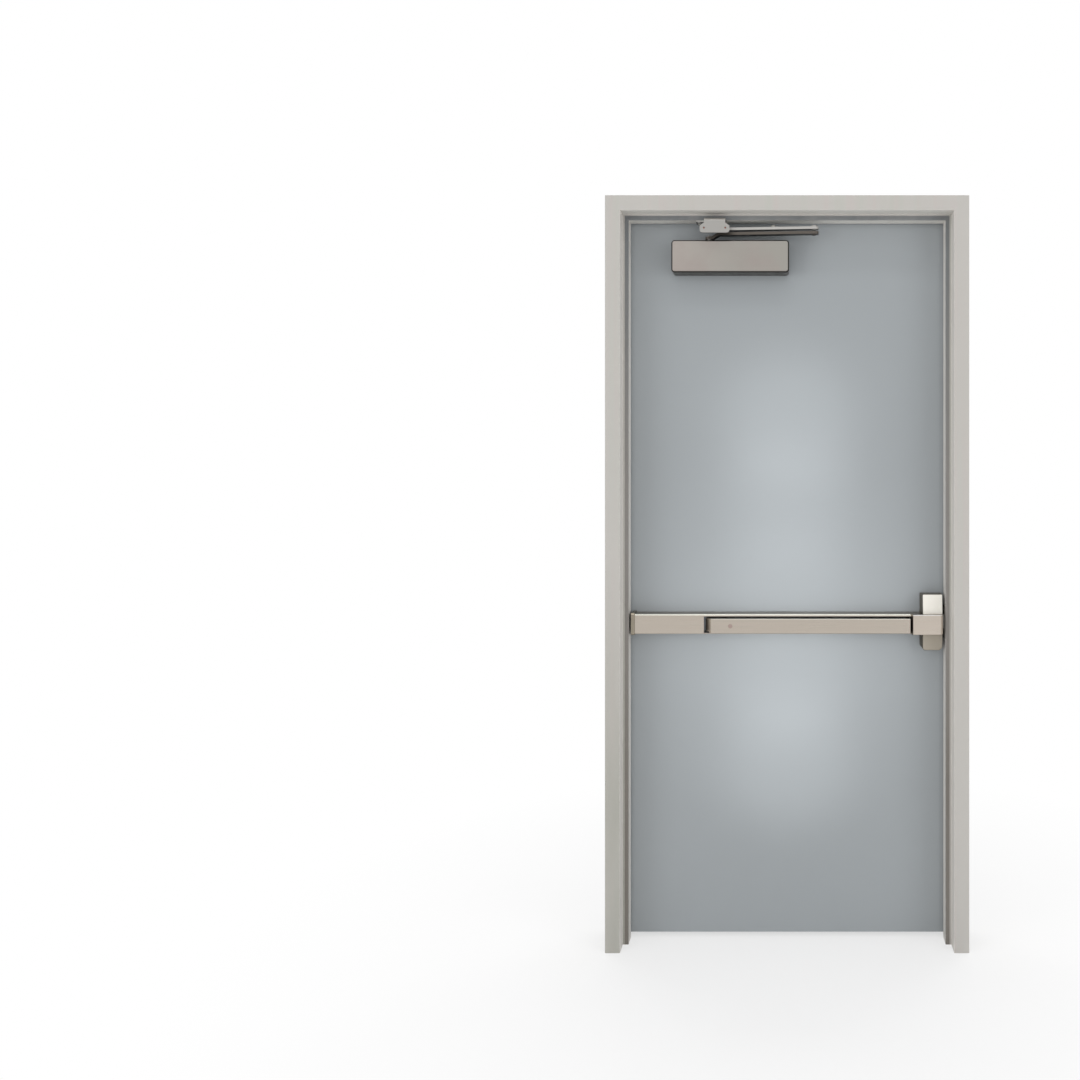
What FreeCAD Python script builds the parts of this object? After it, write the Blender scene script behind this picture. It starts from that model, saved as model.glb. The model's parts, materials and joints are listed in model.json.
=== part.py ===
import FreeCAD, Part
import os

import Sketcher
from FreeCAD import Vector

# Steel utility door in a pressed steel frame: one leaf on three butt hinges, a parallel-arm
# closer at the top and a rim exit device across the push side.
# Millimetres. +X runs from the hinge jamb to the strike jamb, +Y from the push side to the
# pull side, +Z up. The origin is under the hinge jamb's floor anchor, at the jamb's middle.

SIZES = [
    ("opening_width", 914.4, "between the rabbets of the two jambs"),
    ("opening_height", 2032.0, "floor to the rabbet of the head"),
    ("face_width", 41.3, "face of the jambs and of the head"),
    ("frame_depth", 146.0, "jamb depth, face to face"),
    ("rabbet_depth", 50.0, "each rabbet, in the depth of the frame"),
    ("stop_height", 15.9, "how far the stop stands into the opening"),
    ("return_depth", 12.7, "return of each face into the wall side"),
    ("frame_gauge", 1.5, "sheet of the frame"),
    ("bend_radius", 0.8, "inside radius of a bend in the frame"),
    ("edge_gap", 5.0, "gap beside and over the leaf"),
    ("stop_gap", 5.0, "gap between the leaf and the stop"),
    ("undercut", 12.0, "gap under the leaf"),
    ("leaf_thickness", 44.45, "door leaf over both skins"),
    ("skin_gauge", 1.2, "sheet of the leaf's skins"),
    ("skin_radius", 1.8, "outside radius of the leaf's long edges"),
    ("seam_gap", 0.5, "seam between the two skins, in the edge of the leaf"),
    ("channel_height", 25.0, "end channels of the leaf"),
    ("channel_gauge", 1.5, "sheet of the end channels"),
    ("hinge_height", 114.3, "butt hinge, along the pin"),
    ("hinge_gauge", 3.4, "plate of a hinge leaf"),
    ("hinge_reach", 48.0, "pin axis to the inner edge of a hinge leaf"),
    ("hinge_top", 127.0, "opening's top to the top hinge"),
    ("hinge_bottom", 254.0, "floor to the bottom hinge"),
    ("pin_stand_off", 10.0, "pull face of the leaf to the pin axis"),
    ("pin_radius", 4.0, "hinge pin"),
    ("knuckle_radius", 6.5, "hinge knuckle"),
    ("knuckle_gap", 0.4, "between neighbouring knuckles"),
    ("pin_end", 3.0, "hinge pin past each end of its knuckles"),
    ("running_fit", 0.05, "radial clearance of a shaft in its hole"),
    ("mortise_gap", 0.3, "round a hinge leaf in its mortise"),
    ("reinforcement_gauge", 4.8, "plates behind the hinges, inside the jamb"),
    ("reinforcement_width", 32.0, "plates behind the hinges"),
    ("reinforcement_height", 254.0, "plates behind the hinges"),
    ("anchor_gauge", 2.5, "plate of a floor anchor"),
    ("anchor_leg", 38.0, "height of a floor anchor's legs"),
    ("anchor_bolt_spacing", 80.0, "between the two floor bolts of a jamb"),
    ("anchor_bolt_radius", 5.0, "hole for a floor bolt"),
    ("anchor_side_gap", 3.0, "floor anchor to the jamb's own sheet at its sides"),
    ("closer_left", 130.2, "leaf's hinge edge to the closer cover"),
    ("closer_length", 327.5, "closer cover, across the door"),
    ("closer_top_drop", 67.0, "leaf's top to the closer cover's top"),
    ("closer_height", 90.0, "closer cover"),
    ("closer_depth", 57.0, "closer cover, out from the leaf"),
    ("closer_wall", 2.0, "wall of the closer cover"),
    ("closer_radius", 7.0, "corners of the closer cover"),
    ("closer_edge_slope", 1.6, "sloped front edges of the closer cover"),
    ("cover_gap", 4.0, "closer body inside its cover"),
    ("pinion_left", 234.2, "leaf's hinge edge to the pinion"),
    ("pinion_out", 30.0, "leaf's push face to the pinion's axis"),
    ("pinion_radius", 7.0, "pinion shaft"),
    ("pinion_depth", 30.0, "pinion shaft in the closer body"),
    ("pinion_hole_gap", 5.0, "hole in the cover round the pinion"),
    ("arm_width", 22.0, "both arms"),
    ("arm_thickness", 8.0, "both arms"),
    ("arm_end_flat", 0.6, "flat between the rounded corners of an arm's end"),
    ("arm_lift", 5.0, "closer cover to the main arm's hub"),
    ("arm_rise", 11.0, "joggle of the main arm"),
    ("joggle_start", 9.0, "pinion axis to the foot of the main arm's joggle"),
    ("joggle_run", 20.0, "length of the main arm's joggle"),
    ("arm_gap", 5.0, "main arm to forearm, one above the other"),
    ("elbow_left", 526.9, "leaf's hinge edge to the elbow"),
    ("elbow_out", 52.0, "leaf's push face to the elbow"),
    ("elbow_end", 13.0, "elbow's axis to the ends of both arms"),
    ("elbow_gap", 3.0, "elbow pin to the main arm, where the linkage is open"),
    ("elbow_pin_radius", 7.0, "elbow pin"),
    ("elbow_head_radius", 8.5, "head over the elbow"),
    ("elbow_head_height", 3.5, "head over the elbow"),
    ("rivet_radius", 5.0, "rivet under the elbow"),
    ("rivet_height", 2.5, "rivet under the elbow"),
    ("bracket_pivot_left", 246.2, "leaf's hinge edge to the bracket's pivot"),
    ("bracket_pivot_out", 32.0, "leaf's push face to the bracket's pivot"),
    ("bracket_gauge", 5.0, "plate of the closer bracket"),
    ("bracket_out", 86.0, "leaf's push face to the front of the bracket's plate"),
    ("bracket_drop", 42.3, "soffit to the bottom of the bracket's plate"),
    ("bracket_foot_left", 48.0, "bracket's pivot to the left end of its foot"),
    ("bracket_foot_inset", 2.0, "front of the stop to the bracket's foot"),
    ("bracket_foot_depth", 36.0, "foot of the bracket, under the soffit"),
    ("bracket_neck_left", 23.0, "bracket's pivot to the left side of its neck"),
    ("bracket_neck_right", 36.0, "bracket's pivot to the right side of its neck"),
    ("bracket_bend", 5.0, "inside radius of the bracket's bend"),
    ("bracket_shoulder", 14.5, "soffit to the shoulders of the bracket's plate"),
    ("bracket_ear", 11.5, "each ear of the bracket's plate, out from the neck"),
    ("bracket_ear_slope", 8.0, "fall of the ears from the shoulders"),
    ("bracket_corner_radius", 8.0, "lower corners of the bracket's plate"),
    ("bracket_ear_radius", 5.0, "upper corners of the bracket's ears"),
    ("bracket_hole_rise", 13.6, "bottom of the bracket's plate to its two holes"),
    ("bracket_hole_radius", 2.5, "holes in the bracket's plate"),
    ("rail_left", 27.2, "leaf's hinge edge to the exit rail"),
    ("rail_low", 863.0, "floor to the exit rail"),
    ("rail_height", 56.0, "exit rail"),
    ("rail_depth", 45.0, "exit rail, out from the leaf"),
    ("rail_wall", 3.0, "wall of the exit rail"),
    ("rail_radius", 6.0, "top front edge of the exit rail"),
    ("pad_left", 225.2, "leaf's hinge edge to the touch pad"),
    ("pad_height", 41.0, "touch pad"),
    ("pad_depth", 55.0, "front of the pressed touch pad, out from the leaf"),
    ("pad_wall", 5.0, "front wall of the touch pad"),
    ("pad_gap", 5.2, "touch pad to the rail and to the head"),
    ("pad_drop", 12.0, "exit rail's top to the touch pad's top"),
    ("pad_edge_radius", 2.0, "long front edges of the touch pad"),
    ("pad_bevel", 15.0, "sloped left end of the touch pad"),
    ("pad_travel", 13.0, "touch pad, pressed to released"),
    ("pad_leg_gauge", 3.0, "legs of the touch pad"),
    ("pad_leg_tail", 22.0, "leaf's push face to the ends of the pad's legs"),
    ("dogging_left", 68.9, "touch pad's left end to the hole for the dogging key"),
    ("dogging_radius", 2.5, "hole for the dogging key"),
    ("guide_width", 8.0, "square guide posts of the touch pad"),
    ("guide_gap", 0.3, "guide posts in their sockets"),
    ("guide_hold", 10.0, "guide posts in the sockets of the released touch pad"),
    ("socket_width", 16.0, "square sockets of the touch pad"),
    ("guide_inset", 90.0, "each guide post, in from the end of the pad"),
    ("cap_length", 11.0, "end cap of the exit rail"),
    ("cap_overlap", 3.0, "end cap round the rail's section"),
    ("head_right_gap", 18.2, "head of the exit device to the leaf's strike edge"),
    ("head_width", 59.0, "case of the head"),
    ("head_low", 817.0, "floor to the case of the head"),
    ("head_height", 156.0, "case of the head"),
    ("head_wall", 3.0, "wall of the head's case"),
    ("head_lean", 3.6, "how far the left side of the head's case leans in to its front"),
    ("head_chamfer", 8.0, "lower corners of the head's case"),
    ("band_depth", 62.0, "cover band of the head, out from the leaf"),
    ("band_reach", 42.0, "case of the head to the band's left end, at the leaf's face"),
    ("band_slope", 17.0, "how far the band's left end leans to its front"),
    ("band_radius", 10.0, "right front edge of the band"),
    ("joint_gap", 0.3, "between fixed pieces that meet at a sloped end"),
    ("latch_throw", 18.0, "latch bolt, drawn in to thrown"),
    ("latch_height", 30.0, "latch bolt"),
    ("latch_thickness", 16.0, "latch bolt"),
    ("latch_hold", 28.0, "thrown latch bolt, still in the head"),
    ("latch_gap", 0.8, "latch bolt in its guides"),
    ("latch_inset", 2.5, "tip of the drawn latch bolt, inside the case"),
    ("latch_bevel", 12.0, "sloped tip of the latch bolt"),
    ("strike_gauge", 1.9, "strike plate"),
    ("strike_width", 40.0, "strike plate, across the stop"),
    ("strike_height", 90.0, "strike plate"),
    ("strike_gap", 5.0, "slot of the strike round the latch bolt"),
    ("silencer_radius", 5.0, "rubber silencers"),
    ("silencer_gap", 0.3, "silencers to the closed leaf"),
]
HINGE_NAMES = ("bottom", "middle", "top")
SILENCER_SHARES = (0.15, 0.5, 0.85)
MARGIN = 2.0


def text_of(value):
    return value.text if isinstance(value, Size) else repr(float(value))


class Size(float):
    """A length that also knows the sheet expression it comes from."""

    def __new__(cls, value, text):
        size = float.__new__(cls, value)
        size.text = text
        return size

    def __add__(self, other):
        return Size(float(self) + float(other), f"({self.text} + {text_of(other)})")

    def __radd__(self, other):
        return Size(float(other) + float(self), f"({text_of(other)} + {self.text})")

    def __sub__(self, other):
        return Size(float(self) - float(other), f"({self.text} - {text_of(other)})")

    def __rsub__(self, other):
        return Size(float(other) - float(self), f"({text_of(other)} - {self.text})")

    def __mul__(self, other):
        return Size(float(self) * float(other), f"({self.text} * {text_of(other)})")

    def __rmul__(self, other):
        return Size(float(other) * float(self), f"({text_of(other)} * {self.text})")

    def __truediv__(self, other):
        return Size(float(self) / float(other), f"({self.text} / {text_of(other)})")

    def __neg__(self):
        return Size(-float(self), f"(-{self.text})")


class Sizes:
    """The driving dimensions, each bound to its cell of the sheet."""

    def __init__(self, document):
        sheet = document.addObject("Spreadsheet::Sheet", "Sizes")
        for row, (name, value, note) in enumerate(SIZES, start=1):
            sheet.set(f"A{row}", name)
            sheet.set(f"B{row}", str(value))
            sheet.set(f"C{row}", note)
            sheet.setAlias(f"B{row}", name)
            setattr(self, name, Size(value, f"Sizes.{name}"))


doc = FreeCAD.newDocument("utility_door")
s = Sizes(doc)
doc.recompute()
nodes = []

# Levels and planes that several pieces share
open_left = s.face_width / 2
open_right = open_left + s.opening_width
frame_left = open_left - s.face_width
frame_right = open_right + s.face_width
frame_top = s.opening_height + s.face_width
frame_front = -s.frame_depth / 2
frame_back = s.frame_depth / 2
stop_front = frame_front + s.rabbet_depth
stop_back = frame_back - s.rabbet_depth
soffit = s.opening_height - s.stop_height
leaf_left = open_left + s.edge_gap
leaf_right = open_right - s.edge_gap
leaf_low = s.undercut + 0
leaf_high = s.opening_height - s.edge_gap
leaf_front = stop_back + s.stop_gap
leaf_back = leaf_front + s.leaf_thickness
hinge_x = open_left + s.edge_gap / 2
hinge_y = leaf_back + s.pin_stand_off
hinge_edge_y = hinge_y - s.hinge_reach
top_hinge_z = s.opening_height - s.hinge_top - s.hinge_height
hinge_levels = (
    s.hinge_bottom + 0,
    (s.hinge_bottom + top_hinge_z) / 2,
    top_hinge_z,
)

ORIGIN_PLANES = {"X": "YZ_Plane", "Y": "XZ_Plane", "Z": "XY_Plane"}
DIRECTIONS = {"X": Vector(1, 0, 0), "Y": Vector(0, 1, 0), "Z": Vector(0, 0, 1)}


def new_body(label, alone=True):
    """A body, which is a node by itself unless it is to be grouped."""
    body = doc.addObject("PartDesign::Body", label)
    body.Label = label
    if alone:
        nodes.append(body)
    return body


def group(label, members):
    """One node for like pieces that stand apart."""
    compound = doc.addObject("Part::Compound", label)
    compound.Links = members
    nodes.append(compound)


def bind(thing, path, value):
    """Bind a property of the thing to a size, or set it where the size is a bare number."""
    thing.setExpression(path, text_of(value))


def sketch_on(body, name, axis, level):
    """A sketch on the body's own origin plane across the axis, moved to the level."""
    sketch = body.newObject("Sketcher::SketchObject", name)
    role = ORIGIN_PLANES[axis]
    plane = next(f for f in body.Origin.OriginFeatures if f.Role == role)
    sketch.AttachmentSupport = (plane, [""])
    sketch.MapMode = "FlatFace"
    offset = -level if axis == "Y" else level
    bind(sketch, "AttachmentOffset.Base.z", offset)
    return sketch


def fix_point(sketch, geometry, position, point):
    for kind, value in zip(("DistanceX", "DistanceY"), point):
        number = sketch.addConstraint(
            Sketcher.Constraint(kind, -1, 1, geometry, position, float(value)))
        bind(sketch, f"Constraints[{number}]", value)


def draw_polygon(sketch, points):
    first = sketch.GeometryCount
    count = len(points)
    for i in range(count):
        start = Vector(*map(float, points[i]), 0)
        end = Vector(*map(float, points[(i + 1) % count]), 0)
        sketch.addGeometry(Part.LineSegment(start, end))
    for i in range(count):
        sketch.addConstraint(
            Sketcher.Constraint("Coincident", first + i, 2, first + (i + 1) % count, 1))
    for i in range(count):
        fix_point(sketch, first + i, 1, points[i])


def draw_circle(sketch, centre, radius):
    middle = Vector(*map(float, centre), 0)
    number = sketch.addGeometry(Part.Circle(middle, Vector(0, 0, 1), float(radius)))
    fix_point(sketch, number, 3, centre)
    constraint = sketch.addConstraint(Sketcher.Constraint("Radius", number, float(radius)))
    bind(sketch, f"Constraints[{constraint}]", radius)


def rectangle(low_a, low_b, high_a, high_b):
    return [(low_a, low_b), (high_a, low_b), (high_a, high_b), (low_a, high_b)]


def draw(sketch, outlines):
    for outline in outlines:
        if outline[0] == "circle":
            draw_circle(sketch, outline[1], outline[2])
        else:
            draw_polygon(sketch, outline)


def pad(body, name, axis, low, high, *outlines):
    """Material between two levels of the axis. Outlines are in the two other axes, in order."""
    level = high if axis == "Y" else low
    sketch = sketch_on(body, name + "_sketch", axis, level)
    draw(sketch, outlines)
    feature = body.newObject("PartDesign::Pad", name)
    feature.Profile = sketch
    bind(feature, "Length", high - low)
    body.Tip = feature
    return feature


def pocket(body, name, axis, low, high, *outlines):
    """A cut between two levels of the axis."""
    level = low if axis == "Y" else high
    sketch = sketch_on(body, name + "_sketch", axis, level)
    draw(sketch, outlines)
    feature = body.newObject("PartDesign::Pocket", name)
    feature.Profile = sketch
    bind(feature, "Length", high - low)
    body.Tip = feature
    return feature


def edges_along(shape, axis, points, reach=0.05):
    """Names of the straight edges along the axis that pass through the points."""
    direction = DIRECTIONS[axis]
    found = []
    for number, edge in enumerate(shape.Edges, start=1):
        if edge.Curve.TypeId != "Part::GeomLine":
            continue
        if abs(edge.Curve.Direction.dot(direction)) < 0.999:
            continue
        place = edge.Vertexes[0].Point
        flat = {"X": (place.y, place.z), "Y": (place.x, place.z), "Z": (place.x, place.y)}[axis]
        for point in points:
            if abs(flat[0] - float(point[0])) < reach and abs(flat[1] - float(point[1])) < reach:
                found.append(f"Edge{number}")
                break
    return found


def fillet(body, name, axis, radius, points):
    """Round the edges along the axis at the points, each in the two other axes."""
    doc.recompute()
    base = body.Tip
    names = edges_along(base.Shape, axis, points)
    if not names:
        raise ValueError(f"{body.Label}: no edge to round for {name}")
    feature = body.newObject("PartDesign::Fillet", name)
    feature.Base = (base, names)
    bind(feature, "Radius", radius)
    body.Tip = feature
    return feature


def slope_rim(body, name, axis, size, level, reach=0.05):
    """Slope all edges of the flat face that lies across the axis at the level."""
    doc.recompute()
    base = body.Tip
    names = []
    for number, face in enumerate(base.Shape.Faces, start=1):
        if face.Surface.TypeId != "Part::GeomPlane":
            continue
        along = abs(face.normalAt(0, 0).dot(DIRECTIONS[axis]))
        place = face.CenterOfMass.dot(DIRECTIONS[axis])
        if along > 0.999 and abs(place - float(level)) < reach:
            names.append(f"Face{number}")
    if not names:
        raise ValueError(f"{body.Label}: no face to slope for {name}")
    feature = body.newObject("PartDesign::Chamfer", name)
    feature.Base = (base, names)
    bind(feature, "Size", size)
    body.Tip = feature
    return feature


# Frame


def section_points(place):
    """Outline of the frame's pressed sheet. The place turns a distance from the outer edge
    and a depth into a point of the sketch."""
    face, stop, gauge = s.face_width, s.face_width + s.stop_height, s.frame_gauge
    lip_front = frame_front + s.return_depth
    lip_back = frame_back - s.return_depth
    outside = [
        (0, lip_front), (0, frame_front), (face, frame_front), (face, stop_front),
        (stop, stop_front), (stop, stop_back), (face, stop_back), (face, frame_back),
        (0, frame_back), (0, lip_back),
    ]
    inside = [
        (gauge, lip_back), (gauge, frame_back - gauge), (face - gauge, frame_back - gauge),
        (face - gauge, stop_back - gauge), (stop - gauge, stop_back - gauge),
        (stop - gauge, stop_front + gauge), (face - gauge, stop_front + gauge),
        (face - gauge, frame_front + gauge), (gauge, frame_front + gauge), (gauge, lip_front),
    ]
    return [place(*point) for point in outside], [place(*point) for point in inside]


def pressed_section(body, axis, low, high, place):
    outside, inside = section_points(place)
    pad(body, "section", axis, low, high, outside + inside)
    wide = [outside[i] for i in (1, 2, 4, 5, 7, 8)] + [inside[i] for i in (3, 6)]
    tight = [outside[i] for i in (3, 6)] + [inside[i] for i in (1, 2, 4, 5, 7, 8)]
    fillet(body, "outer_bends", axis, s.bend_radius + s.frame_gauge, wide)
    fillet(body, "inner_bends", axis, s.bend_radius, tight)


def mitre(body, name, corner_x, side, keep_head):
    """Cut one end along the mitre that runs from the frame's corner into the opening."""
    reach = s.face_width + s.stop_height + MARGIN
    outer = (corner_x - side * MARGIN, frame_top + MARGIN)
    inner = (corner_x + side * reach, frame_top - reach)
    spare = (outer[0], inner[1]) if keep_head else (inner[0], outer[1])
    pocket(body, name, "Y", frame_front - MARGIN, frame_back + MARGIN, [outer, inner, spare])


def jamb(label, corner_x, side):
    body = new_body(label)
    pressed_section(body, "Z", Size(0, "0"), frame_top, lambda u, v: (corner_x + side * u, v))
    mitre(body, "mitre", corner_x, side, keep_head=False)
    return body


mortise_floor = open_left - s.hinge_gauge
mortise_back = mortise_floor - s.frame_gauge


def hinge_jamb():
    """The sheet is pressed in behind each hinge, so the mortises have a floor."""
    body = jamb("hinge_jamb", frame_left, 1)
    gap, around = s.mortise_gap, s.mortise_gap + s.frame_gauge
    pad(body, "pressed_in", "X", mortise_back, open_left - s.frame_gauge / 2,
        *[rectangle(hinge_edge_y - around, level - around,
                    frame_back - s.frame_gauge / 2, level + s.hinge_height + around)
          for level in hinge_levels])
    pocket(body, "hinge_mortises", "X", mortise_floor, open_left + MARGIN,
           *[rectangle(hinge_edge_y - gap, level - gap,
                       frame_back + MARGIN, level + s.hinge_height + gap)
             for level in hinge_levels])


def hinge_reinforcements():
    """Plates welded to the backs of the pressed-in mortises."""
    plates = []
    for name, level in zip(HINGE_NAMES, hinge_levels):
        plate = doc.addObject("Part::Box", f"{name}_reinforcement")
        bind(plate, "Length", s.reinforcement_gauge)
        bind(plate, "Width", s.reinforcement_width)
        bind(plate, "Height", s.reinforcement_height)
        bind(plate, "Placement.Base.x", mortise_back - s.reinforcement_gauge)
        bind(plate, "Placement.Base.y", hinge_edge_y)
        bind(plate, "Placement.Base.z", level + (s.hinge_height - s.reinforcement_height) / 2)
        plates.append(plate)
    group("hinge_reinforcements", plates)


latch_z = s.head_low + s.head_height / 2
latch_y = leaf_front - s.rail_depth / 2
stop_face = open_right - s.stop_height


def strike_slot():
    half_y = s.latch_thickness / 2 + s.strike_gap
    half_z = s.latch_height / 2 + s.strike_gap
    return rectangle(latch_y - half_y, latch_z - half_z, latch_y + half_y, latch_z + half_z)


def strike_jamb():
    body = jamb("strike_jamb", frame_right, -1)
    pocket(body, "strike_hole", "X", stop_face - MARGIN, stop_face + s.frame_gauge + MARGIN,
           strike_slot())


def frame_head():
    body = new_body("frame_head")
    pressed_section(body, "X", frame_left, frame_right, lambda u, v: (v, frame_top - u))
    mitre(body, "hinge_mitre", frame_left, 1, keep_head=True)
    mitre(body, "strike_mitre", frame_right, -1, keep_head=True)


def floor_anchor(label, middle_x):
    body = new_body(label)
    front, back = frame_front + s.frame_gauge, frame_back - s.frame_gauge
    gauge = s.anchor_gauge
    half = s.face_width / 2 - s.frame_gauge - s.anchor_side_gap
    clip = [
        (front, Size(0, "0")), (back, Size(0, "0")), (back, s.anchor_leg),
        (back - gauge, s.anchor_leg), (back - gauge, gauge), (front + gauge, gauge),
        (front + gauge, s.anchor_leg), (front, s.anchor_leg),
    ]
    pad(body, "clip", "X", middle_x - half, middle_x + half, clip)
    pocket(body, "bolt_holes", "Z", -MARGIN * gauge, gauge + MARGIN,
           *[("circle", (middle_x, side * s.anchor_bolt_spacing / 2), s.anchor_bolt_radius)
             for side in (-1, 1)])


def strike_plate():
    body = new_body("strike_plate")
    half_z = s.strike_height / 2
    middle_y = (stop_front + stop_back) / 2
    pad(body, "plate", "X", stop_face - s.strike_gauge, stop_face,
        rectangle(middle_y - s.strike_width / 2, latch_z - half_z,
                  middle_y + s.strike_width / 2, latch_z + half_z))
    pocket(body, "slot", "X", stop_face - s.strike_gauge - MARGIN, stop_face + MARGIN,
           strike_slot())


def silencers():
    """Rubber buttons in the strike jamb's stop, which the closing leaf meets."""
    rounds = []
    for share in SILENCER_SHARES:
        button = doc.addObject("Part::Cylinder", "silencer")
        bind(button, "Radius", s.silencer_radius)
        bind(button, "Height", s.stop_gap - s.silencer_gap)
        button.Placement.Rotation.Axis = Vector(1, 0, 0)
        bind(button, "Placement.Rotation.Angle", -90)
        bind(button, "Placement.Base.x", open_right - s.stop_height / 2)
        bind(button, "Placement.Base.y", stop_back)
        bind(button, "Placement.Base.z", s.opening_height * share)
        rounds.append(button)
    group("door_silencers", rounds)


# Hinges


def hinge_leaf(label, level, plate_low, plate_high, gaps):
    """One leaf of a butt hinge, with the knuckles that the gaps leave."""
    body = new_body(label, alone=False)
    bind(body, "Placement.Base.z", level)
    knuckle = s.hinge_height / 5
    zero = Size(0, "0")
    pad(body, "plate", "Z", zero, s.hinge_height,
        rectangle(plate_low, hinge_edge_y, plate_high, hinge_y))
    pad(body, "barrel", "Z", zero, s.hinge_height, ("circle", (hinge_x, hinge_y), s.knuckle_radius))
    clear = s.knuckle_radius + s.knuckle_gap
    for number in gaps:
        low = knuckle * number - s.knuckle_gap / 2
        high = knuckle * (number + 1) + s.knuckle_gap / 2
        pocket(body, f"knuckle_gap_{number}", "Z", low, high,
               rectangle(hinge_x - clear, hinge_y - clear, hinge_x + clear, hinge_y + clear))
    pocket(body, "pin_hole", "Z", -s.knuckle_gap, s.hinge_height + s.knuckle_gap,
           ("circle", (hinge_x, hinge_y), s.pin_radius + s.running_fit))
    return body


def hinge_pin(label, level):
    body = new_body(label, alone=False)
    bind(body, "Placement.Base.z", level)
    pad(body, "pin", "Z", -s.pin_end, s.hinge_height + s.pin_end,
        ("circle", (hinge_x, hinge_y), s.pin_radius))
    return body


def hinges():
    frame_leaves, door_leaves, pins = [], [], []
    for name, level in zip(HINGE_NAMES, hinge_levels):
        frame_leaves.append(
            hinge_leaf(f"{name}_frame_leaf", level, mortise_floor, open_left, (1, 3)))
        door_leaves.append(
            hinge_leaf(f"{name}_door_leaf", level, leaf_left, leaf_left + s.hinge_gauge,
                       (0, 2, 4)))
        pins.append(hinge_pin(f"{name}_pin", level))
    group("hinge_frame_leaves", frame_leaves)
    group("hinge_door_leaves", door_leaves)
    group("hinge_pins", pins)


# Door leaf


def mortise_cut(body):
    """Room in the leaf's hinge edge for the three door leaves of the hinges."""
    pocket(body, "hinge_mortises", "X", leaf_left - MARGIN, leaf_left + s.hinge_gauge,
           *[rectangle(hinge_edge_y - s.mortise_gap, level - s.mortise_gap,
                       leaf_back + MARGIN, level + s.hinge_height + s.mortise_gap)
             for level in hinge_levels])


def skin(label, face_y, side):
    """A sheet pan: one face of the leaf with its two long edges turned to the seam."""
    body = new_body(label)
    gauge = s.skin_gauge
    depth = s.leaf_thickness / 2 - s.seam_gap / 2
    far = face_y + side * depth
    near = face_y + side * gauge
    pan = [
        (leaf_left, face_y), (leaf_right, face_y), (leaf_right, far), (leaf_right - gauge, far),
        (leaf_right - gauge, near), (leaf_left + gauge, near), (leaf_left + gauge, far),
        (leaf_left, far),
    ]
    pad(body, "pan", "Z", leaf_low, leaf_high, pan)
    fillet(body, "long_edges", "Z", s.skin_radius, [pan[0], pan[1]])
    mortise_cut(body)


def leaf_core():
    body = new_body("door_core")
    gauge = s.skin_gauge
    pad(body, "core", "Z", leaf_low + s.channel_height, leaf_high - s.channel_height,
        rectangle(leaf_left + gauge, leaf_front + gauge, leaf_right - gauge, leaf_back - gauge))
    mortise_cut(body)


def end_channel(label, web_low, legs_low):
    """A channel between the skins that closes the leaf at its top or bottom."""
    body = new_body(label)
    low_y, high_y = leaf_front + s.skin_gauge, leaf_back - s.skin_gauge
    gauge, left, right = s.channel_gauge, leaf_left + s.skin_gauge, leaf_right - s.skin_gauge
    pad(body, "block", "X", left, right,
        rectangle(low_y, legs_low, high_y, legs_low + s.channel_height))
    hollow_low = legs_low + gauge if web_low else legs_low - MARGIN
    hollow_high = legs_low + s.channel_height + MARGIN if web_low else (
        legs_low + s.channel_height - gauge)
    pocket(body, "hollow", "X", left - MARGIN, right + MARGIN,
           rectangle(low_y + gauge, hollow_low, high_y - gauge, hollow_high))


# Closer

closer_left = leaf_left + s.closer_left
closer_right = closer_left + s.closer_length
closer_high = leaf_high - s.closer_top_drop
closer_low = closer_high - s.closer_height
closer_front = leaf_front - s.closer_depth
pinion_x = leaf_left + s.pinion_left
pinion_y = leaf_front - s.pinion_out
elbow_x = leaf_left + s.elbow_left
elbow_y = leaf_front - s.elbow_out
bracket_x = leaf_left + s.bracket_pivot_left
bracket_y = leaf_front - s.bracket_pivot_out
hub_low = closer_high + s.arm_lift
main_arm_low = hub_low + s.arm_rise
forearm_low = main_arm_low + s.arm_thickness + s.arm_gap
body_top = closer_high - s.closer_wall - s.cover_gap


def closer_cover():
    body = new_body("closer_cover")
    outline = rectangle(closer_left, closer_low, closer_right, closer_high)
    pad(body, "block", "Y", closer_front, leaf_front, outline)
    fillet(body, "corners", "Y", s.closer_radius, outline)
    slope_rim(body, "front_edges", "Y", s.closer_edge_slope, closer_front)
    wall = s.closer_wall
    inner = rectangle(closer_left + wall, closer_low + wall, closer_right - wall,
                      closer_high - wall)
    pocket(body, "hollow", "Y", closer_front + wall, leaf_front + MARGIN, inner)
    pocket(body, "pinion_hole", "Z", closer_high - wall - MARGIN, closer_high + MARGIN,
           ("circle", (pinion_x, pinion_y), s.pinion_radius + s.pinion_hole_gap))


def closer_body():
    body = new_body("closer_body")
    inset = s.closer_wall + s.cover_gap
    pad(body, "casting", "Z", closer_low + inset, body_top,
        rectangle(closer_left + inset, closer_front + inset, closer_right - inset, leaf_front))
    pocket(body, "pinion_bore", "Z", body_top - s.pinion_depth, body_top + MARGIN,
           ("circle", (pinion_x, pinion_y), s.pinion_radius + s.running_fit))


def closer_pinion():
    """The pinion passes through the main arm's hub."""
    body = new_body("closer_pinion")
    pad(body, "shaft", "Z", body_top - s.pinion_depth + s.running_fit, hub_low + s.arm_thickness,
        ("circle", (pinion_x, pinion_y), s.pinion_radius))


def aim(body, start_x, start_y, low, end_x, end_y):
    """Put the body's own origin at the start, with its X axis towards the end."""
    bind(body, "Placement.Base.x", start_x)
    bind(body, "Placement.Base.y", start_y)
    bind(body, "Placement.Base.z", low)
    body.Placement.Rotation.Axis = Vector(0, 0, 1)
    rise, run = end_y - start_y, end_x - start_x
    body.setExpression("Placement.Rotation.Angle", f"atan2({rise.text}; {run.text})")


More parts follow.
